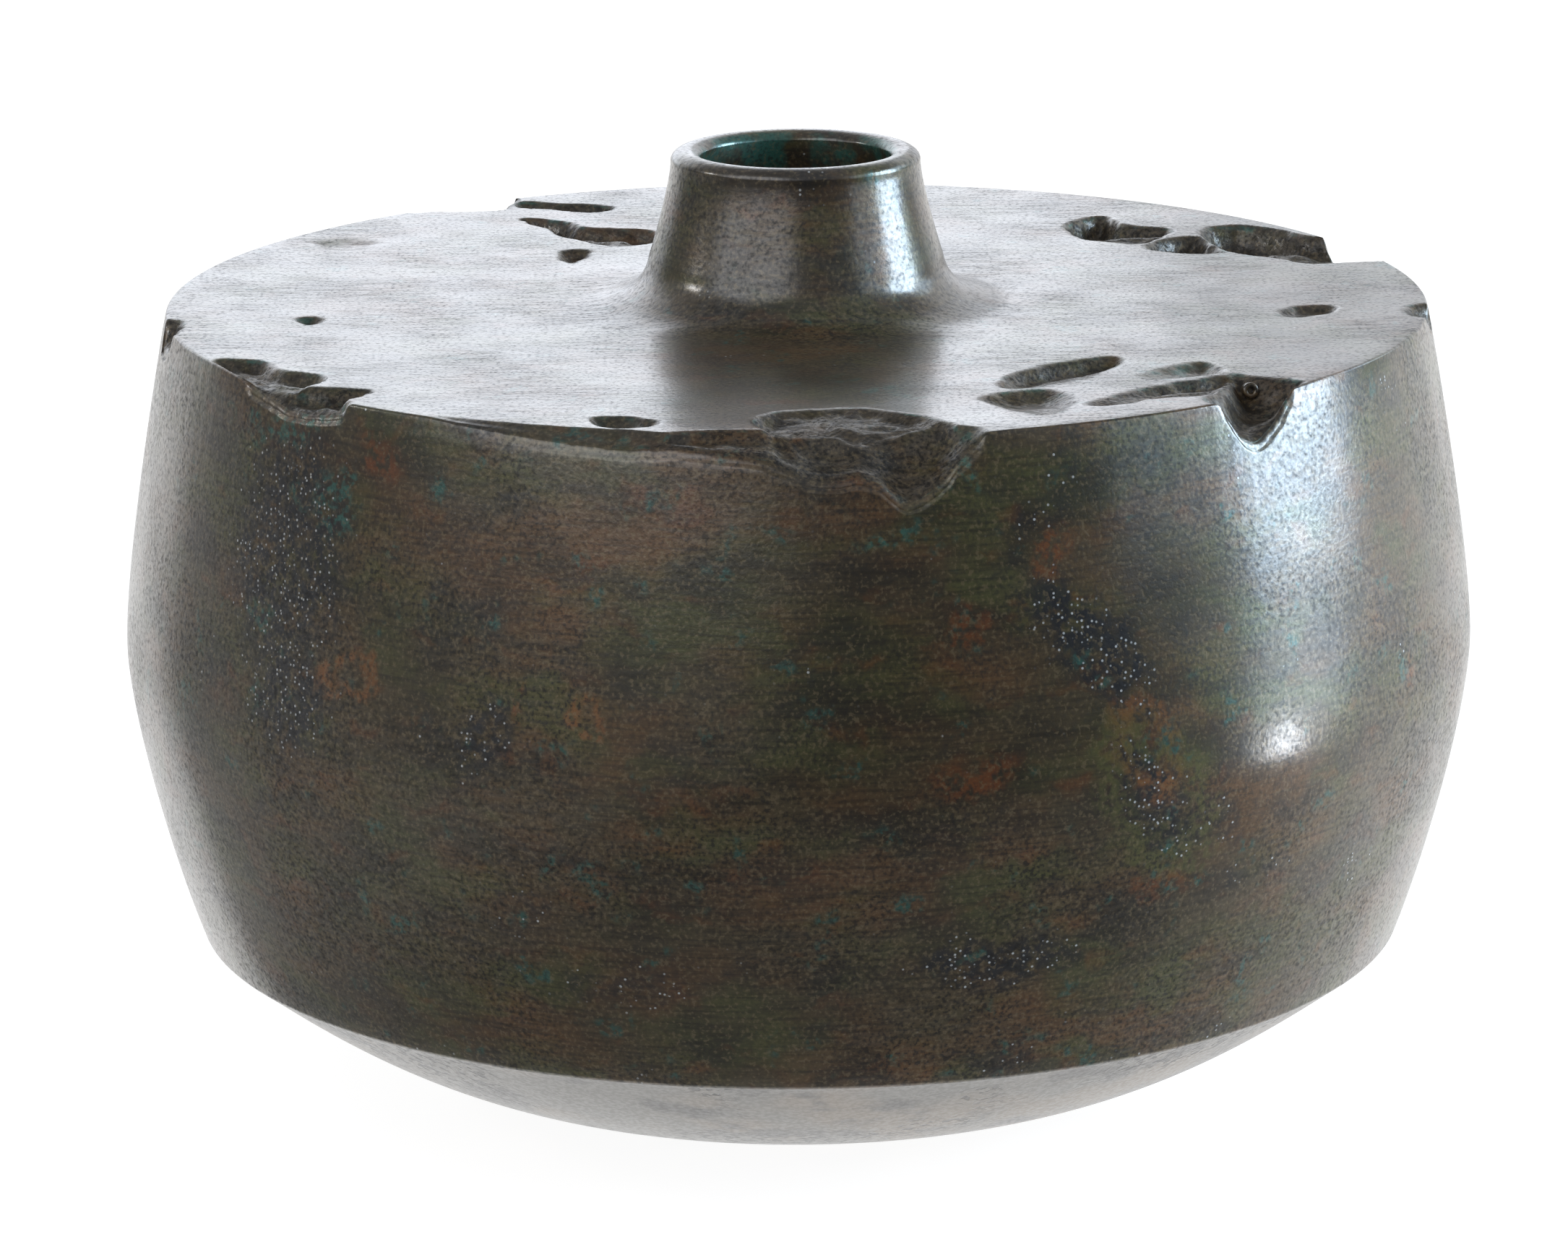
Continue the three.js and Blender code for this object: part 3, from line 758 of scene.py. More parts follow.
round_edge = (STUB_ROUND, STUB_ROUND)
edge_height = STUB_LONG / 2 - STUB_ROUND
stub_section = np.array([
    (0, -STUB_LONG / 2),
    (STUB_R, -STUB_LONG / 2),
    *arc((STUB_R - STUB_ROUND, edge_height), round_edge, 0, 90, 3),
    *arc((STUB_HOLE_R + STUB_ROUND, edge_height), round_edge, 90, 180, 3),
    (STUB_HOLE_R, 0),
    (0, 0),
])
stub = spun(stub_section, STUB_STEPS, closed=False)
turn = Matrix.Rotation(math.radians(STUB_TURN), 4, "Z") @ Matrix.Rotation(math.radians(STUB_LEAN), 4, "X")
bmesh.ops.transform(stub, matrix=Matrix.Translation(Vector(STUB_PLACE) * MM) @ turn, verts=stub.verts)
for face in stub.faces:
    face.smooth = True
vent_stub = piece_of("vent_stub", stub)
print("vent stub:", len(vent_stub.data.polygons), "faces")

# %% [markdown]
# ## The bottom
# The bottom is a separate shallow dish with a low foot ring. Its rim, the spigot, is let into the
# drum's seat at the crease, with a thin gap for the braze. It is turned like the body, so it is spun
# from a section too: over the floor and the spigot, down the bowed underside and round the foot.

# %% Measures of the bottom
UNDERSIDE_HANDLE = 11
UNDERSIDE_STEPS = 36
FOOT_SLOPE = 8
FOOT_HANDLE = 30
FOOT_TOE_R = 70
FOOT_TOE_Z = 1.9
FOOT_R = 66
FOOT_INNER_R = 58
FOOT_RECESS = 3
FOOT_EDGE = ((2.2, 1.55), (0.9, 0.9), (0.2, 0.25), (-0.4, 0))
FOOT_INNER_EDGE = ((0.4, 0), (0, 0.25))
RECESS_EDGE = 1.5
BOTTOM_T = 6
SPIGOT_T = 5
SPIGOT_TOP_Z = 40
SPIGOT_STEP = 1
GAP = 0.3
print("foot ring:", 2 * FOOT_R, "mm outside,", 2 * FOOT_INNER_R, "mm inside")

# %% [markdown]
# The underside is one long curve from the joint to the toe of the foot. The dish's floor is the same
# curve, raised by the metal's thickness and with a quarter of its points, because it is hidden.

# %% Build the bottom


def underside():
    """The bowed underside, from the joint to the toe of the foot."""
    slope, toe = math.radians(UNDERSIDE_SLOPE), math.radians(FOOT_SLOPE)
    return bezier(
        JOINT,
        (JOINT[0] - UNDERSIDE_HANDLE * math.cos(slope), JOINT[1] - UNDERSIDE_HANDLE * math.sin(slope)),
        (FOOT_TOE_R + FOOT_HANDLE * math.cos(toe), FOOT_TOE_Z + FOOT_HANDLE * math.sin(toe)),
        (FOOT_TOE_R, FOOT_TOE_Z),
        UNDERSIDE_STEPS,
    )


def bottom_section():
    """The dish from its middle inside, over the spigot, down the underside and round the foot."""
    under = underside()
    spigot = SEAT_R - GAP
    inside = under[under[:, 0] < spigot - SPIGOT_T - SPIGOT_STEP] + (0, BOTTOM_T)
    return np.array([
        *[(r, FOOT_RECESS + BOTTOM_T) for r in np.linspace(0, FOOT_INNER_R, 8)],
        *inside[::-4],
        (spigot - SPIGOT_T, JOINT[1] - SPIGOT_STEP),
        (spigot - SPIGOT_T, SPIGOT_TOP_Z),
        (spigot, SPIGOT_TOP_Z),
        (spigot, JOINT[1]),
        *under,
        *[(FOOT_R + r, z) for r, z in FOOT_EDGE],
        *[(FOOT_INNER_R + r, z) for r, z in FOOT_INNER_EDGE],
        *[(r, FOOT_RECESS) for r in np.linspace(FOOT_INNER_R - RECESS_EDGE, 0, 8)],
    ])


bottom = spun(bottom_section(), AROUND, closed=False)
for face in bottom.faces:
    face.smooth = True
bottom_skin = piece_of("bottom_skin", bottom)
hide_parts("bottom_casting")
print("bottom skin:", len(bottom_skin.data.polygons), "faces")

# %% [markdown]
# ## How the materials are written
# Colours are sRGB hex values, turned to linear light by one function. One small function adds a
# node with its settings and with plain values or links for its inputs. Every node is made by it.

# %% Helpers for materials


def linear(code):
    """An sRGB hex colour as linear red, green, blue and alpha."""
    parts = [int(code[i : i + 2], 16) / 255 for i in (1, 3, 5)]
    return [*(p / 12.92 if p <= 0.04045 else ((p + 0.055) / 1.055) ** 2.4 for p in parts), 1]


def add(tree, kind, inputs=None, **settings):
    """Adds a node. An input takes a plain value, or the socket that feeds it."""
    node = tree.nodes.new(kind)
    for name, value in settings.items():
        setattr(node, name, value)
    for name, value in (inputs or {}).items():
        if isinstance(value, bpy.types.NodeSocket):
            tree.links.new(value, node.inputs[name])
        else:
            node.inputs[name].default_value = value
    return node


def new_tree(name):
    """A new material with an empty node tree."""
    material = bpy.data.materials.new(name)
    material.use_nodes = True
    material.node_tree.nodes.clear()
    return material, material.node_tree


print("the patina's base brown in linear light:", [round(c, 3) for c in linear("#4b412e")[:3]])

# %% [markdown]
# A patina is built like glazes on a painting, so three functions say what is laid where: patches of
# noise of a size in millimetres, one stain at a place on the wall, and a layer of colour that shows
# where all its masks overlap. Every mask has a soft edge, which is a soft step of some value. A
# stain is an azimuth from the front towards the right and a height on the wall, a half length, a
# half height and a tilt. Angles are degrees and lengths millimetres.

# %% Masks and layers
SOFT = {"interpolation_type": "SMOOTHSTEP"}


def step(value, low, high, to_low=0, to_high=1):
    """The inputs of a Map Range node that goes from to_low at low to to_high at high."""
    return {"Value": value, "From Min": low, "From Max": high, "To Min": to_low, "To Max": to_high}


def patches(tree, where, size, low, high, stretch=(1, 1, 1), seed=0, detail=4, to_high=1):
    """A mask of patches of a size in millimetres, which is empty at one noise value, full at another."""
    scale = [1 / (size * s * MM) for s in stretch]
    inputs = {"Vector": where, "Location": (seed, seed, seed), "Scale": scale}
    place = add(tree, "ShaderNodeMapping", inputs).outputs[0]
    cloud = add(tree, "ShaderNodeTexNoise", {"Vector": place, "Scale": 1, "Detail": detail}).outputs[0]
    return add(tree, "ShaderNodeMapRange", step(cloud, low, high, 0, to_high), **SOFT).outputs[0]


def stain(tree, where, shape, low, high, to_high=1):
    """A mask of one stain on the wall. Its middle is at 0 and its edge at 1 for low and high."""
    azimuth, height, long, tall, tilt = shape
    turn = math.radians(azimuth)
    radius = float(wall_radius(height))
    middle = Vector((radius * math.sin(turn), -radius * math.cos(turn), height)) * MM
    place = add(tree, "ShaderNodeMapping", {
        "Vector": where,
        "Location": middle,
        "Rotation": Euler((0, -math.radians(tilt), turn)),
        "Scale": Vector((long, long, tall)) * MM,
    }, vector_type="TEXTURE")
    out = add(tree, "ShaderNodeVectorMath", {0: place.outputs[0]}, operation="LENGTH").outputs["Value"]
    return add(tree, "ShaderNodeMapRange", step(out, low, high, 0, to_high), **SOFT).outputs[0]


def layer(tree, below, colour, *masks):
    """One colour laid over the colours below it, where all its masks overlap."""
    shown = masks[0]
    for mask in masks[1:]:
        shown = add(tree, "ShaderNodeMath", {0: shown, 1: mask}, operation="MULTIPLY").outputs[0]
    inputs = {0: shown, 6: below, 7: linear(colour)}
    return add(tree, "ShaderNodeMix", inputs, data_type="RGBA").outputs[2]


print("a soft step in a Map Range node:", step("noise", 0.4, 0.68))

# %% [markdown]
# ## Waxed patina on cast bronze
# A cast bronze is coloured by chemicals and heat, which leave a thin, uneven skin of oxides, and is
# then waxed. The eye sees warm brown in the thin places, olive where the bath was weaker and near
# black where the oxide is thick. The patches lie along the wall, because it was wiped round as it
# was coloured, and that also left fine streaks. This is the first coat of the painting.

# %% Clouds and streaks
WIDE = (1, 1, 0.5)
STREAKY = (1, 1, 0.06)
STAINS_WARM = [
    (-20.6, 150.2, 50, 13.3, 5),
    (45.5, 80.5, 10.9, 15.7, 72),
]


def clouds(tree, where, bent):
    """Brown, olive and dark clouds, and the streaks left by wiping."""
    colour = add(tree, "ShaderNodeRGB").outputs[0]
    colour.default_value = linear("#4b412e")
    warm = patches(tree, bent, 34, 0.4, 0.68, WIDE, seed=3, detail=3, to_high=0.8)
    colour = layer(tree, colour, "#614429", warm)
    olive = patches(tree, bent, 26, 0.42, 0.66, WIDE, seed=8, detail=3, to_high=0.85)
    colour = layer(tree, colour, "#4a4c2b", olive)
    for shape in STAINS_WARM:
        colour = layer(tree, colour, "#66492d", stain(tree, bent, shape, 1.2, 0.2, to_high=0.6))
    thick = patches(tree, bent, 20, 0.44, 0.7, WIDE, seed=17, detail=3, to_high=0.7)
    colour = layer(tree, colour, "#2a2721", thick)
    streaks = patches(tree, where, 13, 0.4, 0.7, STREAKY, seed=5, detail=3, to_high=0.55)
    colour = layer(tree, colour, "#26221b", streaks)
    rusty = patches(tree, bent, 12, 0.56, 0.76, WIDE, seed=21, detail=3, to_high=0.35)
    return layer(tree, colour, "#713e1a", rusty)


print(len(STAINS_WARM), "large warm stains")

# %% [markdown]
# Some marks are as large as a coin and everyone who knows the vase would miss them, so they have
# their own places: near black blots where the oxide is thickest, spots and rings of rust where iron
# got in, and veils of blue-green verdigris. Each is broken up by a fine grain, as dry pigment is.

# %% Blots, rust and verdigris
STAINS_DARK = [
    (-47.5, 141.6, 28.8, 19.6, 92),
    (-45.5, 112.1, 14.6, 13.9, 74),
    (-25.9, 109.9, 9.4, 5.8, 70),
    (24.3, 129.6, 22, 9, -52),
    (29.3, 96, 18, 8, -60),
    (16.4, 63.1, 20.7, 7, 0),
]
STAINS_RUST = [
    (-37.6, 165.1, 8.3, 5, -26),
    (-22.9, 118.9, 5.1, 2.6, 88),
    (13.9, 135.6, 7.1, 3.8, 15),
    (21, 149.1, 7.3, 4.7, 53),
    (14.2, 103.9, 12.1, 5.1, 5),
    (31.4, 75.1, 11.7, 4.1, 0),
    (60.5, 107.1, 3.3, 4.4, 59),
]
RINGS_RUST = [
    (28.5, 107.5, 10, 6.2, -60),
    (-38.5, 118.7, 7.3, 4.2, 10),
    (-16.8, 115.8, 3.9, 3.2, 0),
]
RINGS_OLIVE = [
    (29.7, 94.7, 18, 10, -56),
]
STAINS_TEAL = [
    (-40.4, 156.4, 4.2, 3, 0),
    (-42.1, 152.8, 9.5, 7.2, 70),
    (-48.4, 166.9, 20.5, 4.5, 15),
    (7.7, 155.2, 10.2, 2.7, 22),
    (13.6, 168.2, 8.9, 2.5, -63),
]


def blots(tree, where, bent, colour):
    """Near black blots. Their mask is returned too, because the painted glints gather in them."""
    dark = patches(tree, bent, 24, 0.6, 0.72, seed=17, to_high=0.6)
    for shape in STAINS_DARK:
        blot = stain(tree, bent, shape, 1.15, 0.6)
        dark = add(tree, "ShaderNodeMath", {0: dark, 1: blot}, operation="MAXIMUM").outputs[0]
    mottle = patches(tree, where, 2.6, 0.3, 0.6, seed=2, detail=2)
    return layer(tree, colour, "#242528", dark, mottle), dark


def spots(tree, where, bent, colour):
    """Spots and rings of rust, and veils and flecks of verdigris."""
    rust_grain = patches(tree, where, 2, 0.36, 0.6, seed=6, detail=2)
    for shape in STAINS_RUST:
        spot = stain(tree, bent, shape, 1.1, 0.3, to_high=0.6)
        colour = layer(tree, colour, "#7a421b", spot, rust_grain)
    for code, rings in (("#7f522a", RINGS_RUST), ("#55562f", RINGS_OLIVE)):
        for shape in rings:
            inner = stain(tree, bent, shape, 0.35, 0.95)
            outer = stain(tree, bent, shape, 1.45, 1, to_high=0.7)
            colour = layer(tree, colour, code, inner, outer, rust_grain)
    teal_grain = patches(tree, where, 1.8, 0.42, 0.64, seed=9, detail=2)
    for shape in STAINS_TEAL:
        veil = stain(tree, bent, shape, 1.1, 0.3, to_high=0.7)
        colour = layer(tree, colour, "#33685f", veil, teal_grain)
    flecks = patches(tree, where, 9, 0.6, 0.72, seed=33, detail=2)
    return layer(tree, colour, "#2d524a", flecks, teal_grain)


placed = STAINS_DARK + STAINS_RUST + RINGS_RUST + RINGS_OLIVE + STAINS_TEAL
print(len(placed), "marks with a place of their own")

# %% [markdown]
# Pale dots half a millimetre across are painted glints. They are highlights of light off tiny facets,
# drawn into the colour, and they gather in the thick oxide. A Voronoi texture has one dot in each cell
# of a millimetre and a random colour for each cell, and that colour draws the lots: a few dots show
# anywhere, and many in the blots.

# %% Painted glints
GLINT_CELL = 1
GLINT_DOT = (0.36, 0.16)
GLINTS_IN_BLOTS = 0.42
GLINT_DRAWN = (0.97, 1.1)
GLINT_STRENGTH = 0.8


def painted_glints(tree, where, colour, dark):
    """Painted glints: pale dots that stand in for highlights, a few all over and many in the dark blots."""
    cells = add(tree, "ShaderNodeTexVoronoi", {"Vector": where, "Scale": 1 / (GLINT_CELL * MM)})
    dots = add(tree, "ShaderNodeMapRange", step(cells.outputs["Distance"], *GLINT_DOT), **SOFT).outputs[0]
    lot = add(tree, "ShaderNodeSeparateColor", {0: cells.outputs["Color"]}).outputs[0]
    inputs = {0: dark, 1: GLINTS_IN_BLOTS, 2: lot}
    lot = add(tree, "ShaderNodeMath", inputs, operation="MULTIPLY_ADD").outputs[0]
    drawn = add(tree, "ShaderNodeMapRange", step(lot, *GLINT_DRAWN, 0, GLINT_STRENGTH), **SOFT).outputs[0]
    # painted highlights: pale dots laid into the colour in place of glints of light
    return layer(tree, colour, "#c4c8ca", dots, drawn)


print("grit dots:", GLINT_DOT[0] + GLINT_DOT[1], "mm across, in cells of", GLINT_CELL, "mm")

# %% [markdown]
# The torn places were never smoothed or waxed well, so they are dull and grey-brown, with dark
# crusts and a little verdigris along their lips. How torn a point is comes from the attribute that
# the carving left on the mesh. Inside the mouth, where water stood, the verdigris is thickest.

# %% Torn places and the mouth
LIP_BEGINS = (0.05, 0.4)
LIP_ENDS = (0.9, 0.5)
MOUTH_R = (23.5, 22)
MOUTH_Z = (180, 190)


def in_tears(tree, where, bent, colour, tear):
    """Raw metal and crusts in the torn places, and verdigris along their lips."""
    raw = patches(tree, where, 5, 0.3, 0.6, seed=14, to_high=0.9)
    colour = layer(tree, colour, "#4c453b", tear, raw)
    crust = patches(tree, bent, 5, 0.44, 0.66, WIDE, seed=15, detail=3, to_high=0.75)
    colour = layer(tree, colour, "#24211d", tear, crust)
    begun = add(tree, "ShaderNodeMapRange", step(tear, *LIP_BEGINS), **SOFT).outputs[0]
    ended = add(tree, "ShaderNodeMapRange", step(tear, *LIP_ENDS), **SOFT).outputs[0]
    verdigris = patches(tree, where, 6, 0.5, 0.66, seed=18, to_high=0.6)
    return layer(tree, colour, "#33685f", begun, ended, verdigris)


def in_mouth(tree, where, colour):
    """Verdigris on the inside of the neck."""
    parts = add(tree, "ShaderNodeSeparateXYZ", {0: where})
    flat = add(tree, "ShaderNodeCombineXYZ", {0: parts.outputs[0], 1: parts.outputs[1]})
    axis = add(tree, "ShaderNodeVectorMath", {0: flat.outputs[0]}, operation="LENGTH").outputs["Value"]
    inside = add(tree, "ShaderNodeMapRange", step(axis, *np.array(MOUTH_R) * MM), **SOFT).outputs[0]
    above = step(parts.outputs[2], *np.array(MOUTH_Z) * MM)
    above = add(tree, "ShaderNodeMapRange", above, **SOFT).outputs[0]
    return layer(tree, colour, "#2f5c52", inside, above, patches(tree, where, 6, 0.38, 0.6, seed=4))


print("verdigris in the mouth above", MOUTH_Z[0], "mm")

# %% [markdown]
# The wax is a clear coat over the metal, thinner where hands have rubbed it, over dark specks and in
# the tears. It levels the finest scratches, so it has a weaker bump than the metal below it. The
# metal mirrors through all of it, so a dark wall and a silver shoulder are one and the same
# material. Fine grain is drawn at 0.9 mm: the real one is finer, but it would not show from here.

# %% Wax and wear
FINE = 0.9
BROAD = 25
RUBBED_ALONG = (1, 0.14, 0.14)
SPECK_WAX = -0.3
TEAR_WAX = -0.55
TEAR_ROUGH = 0.16
SPECK_ROUGH = 0.12
TEAR_GRAIN = 3
WAVES_DEEP = 0.25
GRAIN_DEEP = 0.05
WAX_GRAIN_DEEP = 0.02


def wax_left(tree, where, speck, worn, tear):
    """How much wax is left at each point, from 0 to 1."""
    rubbed = patches(tree, where, 9, 0.38, 0.62, RUBBED_ALONG, seed=28, to_high=0.6)
    inputs = {0: speck, 1: SPECK_WAX, 2: 1}
    thin = add(tree, "ShaderNodeMath", inputs, operation="MULTIPLY_ADD").outputs[0]
    bare = add(tree, "ShaderNodeMath", {0: rubbed, 1: worn}, operation="MULTIPLY").outputs[0]
    wax = add(tree, "ShaderNodeMath", {0: thin, 1: bare}, operation="SUBTRACT").outputs[0]
    inputs = {0: tear, 1: TEAR_WAX, 2: wax}
    return add(tree, "ShaderNodeMath", inputs, operation="MULTIPLY_ADD", use_clamp=True).outputs[0]


def roughness(tree, broad, speck, tear):
    """The roughness of the metal, higher in dark specks and in tears."""
    base = add(tree, "ShaderNodeMapRange", step(broad, 0.35, 0.65, 0.28, 0.38), **SOFT).outputs[0]
    inputs = {0: tear, 1: TEAR_ROUGH, 2: base}
    rough = add(tree, "ShaderNodeMath", inputs, operation="MULTIPLY_ADD").outputs[0]
    inputs = {0: speck, 1: SPECK_ROUGH, 2: rough}
    return add(tree, "ShaderNodeMath", inputs, operation="MULTIPLY_ADD").outputs[0]


print("fine grain", FINE, "mm, broad wear", BROAD, "mm")

# %% [markdown]
# The material lays these parts over each other. The patterns of the clouds are bent by a slow noise
# first, so that no patch is a plain round blob.

# %% The patina material
WANDER_SIZE = 9
WANDER = 12


def waxed_patina():
    """Cast bronze with an oxide patina under wax."""
    material, tree = new_tree("waxed_oxide_patina_on_cast_bronze")
    where = add(tree, "ShaderNodeTexCoord").outputs["Object"]
    wander = add(tree, "ShaderNodeTexNoise", {"Vector": where, "Scale": 1 / (WANDER_SIZE * MM), "Detail": 3})
    inputs = {0: wander.outputs["Color"], 1: (0.5, 0.5, 0.5)}
    centred = add(tree, "ShaderNodeVectorMath", inputs, operation="SUBTRACT").outputs[0]
    shift = add(tree, "ShaderNodeVectorMath", {0: centred, "Scale": WANDER * MM}, operation="SCALE")
    bent = add(tree, "ShaderNodeVectorMath", {0: where, 1: shift.outputs[0]}).outputs[0]
    tear = add(tree, "ShaderNodeAttribute", attribute_name="torn").outputs["Fac"]

    colour, dark = blots(tree, where, bent, clouds(tree, where, bent))
    # the pale dots laid here are painted glints, not a real pale colour of the metal
    colour = painted_glints(tree, where, spots(tree, where, bent, colour), dark)
    colour = in_mouth(tree, where, in_tears(tree, where, bent, colour, tear))

    inputs = {"Vector": where, "Scale": 1 / (FINE * MM), "Detail": 2}
    fine = add(tree, "ShaderNodeTexNoise", inputs).outputs[0]
    inputs = {"Vector": where, "Scale": 1 / (BROAD * MM), "Detail": 1}
    broad = add(tree, "ShaderNodeTexNoise", inputs).outputs[0]
    speck = add(tree, "ShaderNodeMapRange", step(fine, 0.5, 0.66), **SOFT).outputs[0]
    worn = add(tree, "ShaderNodeMapRange", step(broad, 0.3, 0.7, 0.3, 0.8), **SOFT).outputs[0]
    colour = layer(tree, colour, "#211f1d", speck, worn)
    pale = add(tree, "ShaderNodeMapRange", step(fine, 0.46, 0.32, 0, 0.45), **SOFT).outputs[0]
    colour = layer(tree, colour, "#73654c", pale)

    inputs = {"Height": broad, "Distance": WAVES_DEEP * MM, "Strength": 1}
    waves = add(tree, "ShaderNodeBump", inputs).outputs[0]
    deeper = add(tree, "ShaderNodeMath", {0: tear, 1: TEAR_GRAIN, 2: 1}, operation="MULTIPLY_ADD").outputs[0]
    grain = add(tree, "ShaderNodeMath", {0: fine, 1: deeper}, operation="MULTIPLY").outputs[0]
    inputs = {"Height": grain, "Distance": GRAIN_DEEP * MM, "Strength": 1, "Normal": waves}
    bump = add(tree, "ShaderNodeBump", inputs).outputs[0]
    inputs = {"Height": grain, "Distance": WAX_GRAIN_DEEP * MM, "Strength": 1, "Normal": waves}
    wax_bump = add(tree, "ShaderNodeBump", inputs).outputs[0]
    shader = add(tree, "ShaderNodeBsdfPrincipled", {
        "Base Color": colour,
        "Metallic": 0.5,
        "Roughness": roughness(tree, broad, speck, tear),
        "Normal": bump,
        "Coat Weight": wax_left(tree, where, speck, worn, tear),
        "Coat Roughness": 0.2,
        "Coat IOR": 1.7,
        "Coat Normal": wax_bump,
    })
    add(tree, "ShaderNodeOutputMaterial", {"Surface": shader.outputs[0]})
    return material


patina = waxed_patina()
body_skin.data.materials.append(patina)
vent_stub.data.materials.append(patina)
print("patina nodes:", len(patina.node_tree.nodes))

# %% [markdown]
# ## The underside's as-cast bronze
# The bottom was left much as it came from the mould: grey-brown and dull, with clusters of small
# dark pits where gas or grains of the mould met the metal. There is only a thin coat of wax on it.

# %% The underside material
CAST_GRAIN = 1.1
CAST_DEEP = 0.06
PIT_DEEP = -4


def as_cast_bronze():
    """Dull cast bronze with clusters of pits."""
    material, tree = new_tree("pitted_as_cast_bronze")
    where = add(tree, "ShaderNodeTexCoord").outputs["Object"]
    colour = add(tree, "ShaderNodeRGB").outputs[0]
    colour.default_value = linear("#6f6c66")
    colour = layer(tree, colour, "#7c7164", patches(tree, where, 30, 0.45, 0.65, seed=3, detail=2))
    colour = layer(tree, colour, "#4a4743", patches(tree, where, 14, 0.5, 0.7, seed=7, detail=3))
    clusters = patches(tree, where, 40, 0.5, 0.62, seed=11, detail=2)
    pits = patches(tree, where, 2.2, 0.52, 0.62, seed=13, detail=2)
    pitted = add(tree, "ShaderNodeMath", {0: clusters, 1: pits}, operation="MULTIPLY").outputs[0]
    colour = layer(tree, colour, "#2b2926", pitted)
    inputs = {"Vector": where, "Scale": 1 / (CAST_GRAIN * MM), "Detail": 3}
    grain = add(tree, "ShaderNodeTexNoise", inputs).outputs[0]
    rough = add(tree, "ShaderNodeMapRange", step(grain, 0.35, 0.65, 0.3, 0.45), **SOFT).outputs[0]
    inputs = {0: pitted, 1: PIT_DEEP, 2: grain}
    deep = add(tree, "ShaderNodeMath", inputs, operation="MULTIPLY_ADD").outputs[0]
    inputs = {"Height": deep, "Distance": CAST_DEEP * MM, "Strength": 1}
    bump = add(tree, "ShaderNodeBump", inputs).outputs[0]
    shader = add(tree, "ShaderNodeBsdfPrincipled", {
        "Base Color": colour,
        "Metallic": 0.6,
        "Roughness": rough,
        "Normal": bump,
        "Coat Weight": 0.6,
        "Coat Roughness": 0.25,
    })
    add(tree, "ShaderNodeOutputMaterial", {"Surface": shader.outputs[0]})
    return material


bottom_skin.data.materials.append(as_cast_bronze())
print("underside material:", bottom_skin.data.materials[0].name)

# %% [markdown]
# ## Braze and chaplets
# Both are hidden in the finished vase. Braze is a brass that ran and froze, so it is yellower than
# bronze, with ripples and a bloom of flux. A chaplet is a small cast bronze spacer that was never
# cleaned, so it is brown and grainy.

# %% The hidden metals
BLOOM_TO_RIPPLE = 2.5
BLOOM_ROUGHER = 0.2
RIPPLE_DEEP = 0.2


def hidden_metal(name, codes, ripple, smoothest):
    """A dull metal in two colours, with ripples of a size in millimetres."""
    material, tree = new_tree(name)
    where = add(tree, "ShaderNodeTexCoord").outputs["Object"]
    colour = add(tree, "ShaderNodeRGB").outputs[0]
    colour.default_value = linear(codes[0])
    bloom = patches(tree, where, ripple * BLOOM_TO_RIPPLE, 0.45, 0.65, seed=5)
    colour = layer(tree, colour, codes[1], bloom)
    inputs = {"Vector": where, "Scale": 1 / (ripple * MM), "Detail": 3}
    waves = add(tree, "ShaderNodeTexNoise", inputs).outputs[0]
    inputs = {"Height": waves, "Distance": RIPPLE_DEEP * MM, "Strength": 1}
    bump = add(tree, "ShaderNodeBump", inputs).outputs[0]
    inputs = step(bloom, 0, 1, smoothest, smoothest + BLOOM_ROUGHER)
    shader = add(tree, "ShaderNodeBsdfPrincipled", {
        "Base Color": colour,
        "Metallic": 1,
        "Roughness": add(tree, "ShaderNodeMapRange", inputs, **SOFT).outputs[0],
        "Normal": bump,
    })
    add(tree, "ShaderNodeOutputMaterial", {"Surface": shader.outputs[0]})
    return material


run_braze = hidden_metal("run_brass_braze", ("#b49a5c", "#7a7258"), 2.5, 0.35)
raw_bronze = hidden_metal("uncleaned_cast_bronze", ("#8f7148", "#5a4632"), 0.8, 0.5)
for name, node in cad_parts.items():
    node.data.materials.clear()
    if name == "braze_ring":
        node.data.materials.append(run_braze)
    elif name.startswith("core_chaplet"):
        node.data.materials.append(raw_bronze)
    else:
        node.data.materials.append(patina)
print("materials:", [m.name for m in bpy.data.materials])

# %% [markdown]
# ## A white table
# The table is plain white. To the camera it is white by itself, with a weak share of diffuse white
# that keeps the vase's shadow. A mirror shows more than the camera does, so the bronze sees a table
# with light and dark parts: a fan of white behind the vase and a disc of it below, a bright strip
# at the right, where the soft box lights it, a fainter one at the left, and a dim front, which the
# photographer's side of the room shades.

# %% Measures of the table's light
TABLE_R = 6
TABLE_GLOW = 0.92
TABLE_LEFT = 0.2
TABLE_RIGHT = 0.8
TABLE_DIM = 0.16
TABLE_FAR = 0.04
LEFT_EDGE = (-0.08, -0.22)
RIGHT_EDGE = (0.04, 0.12)
RIGHT_BACK = (-0.19, 0)
FRONT_EDGE = (-0.5, -0.22)
DISC_EDGE = (0.165, 0.135)
FAN_BESIDE = 0.13
FAN_BEHIND = 0.05
FAN_EDGE = (60, 40)


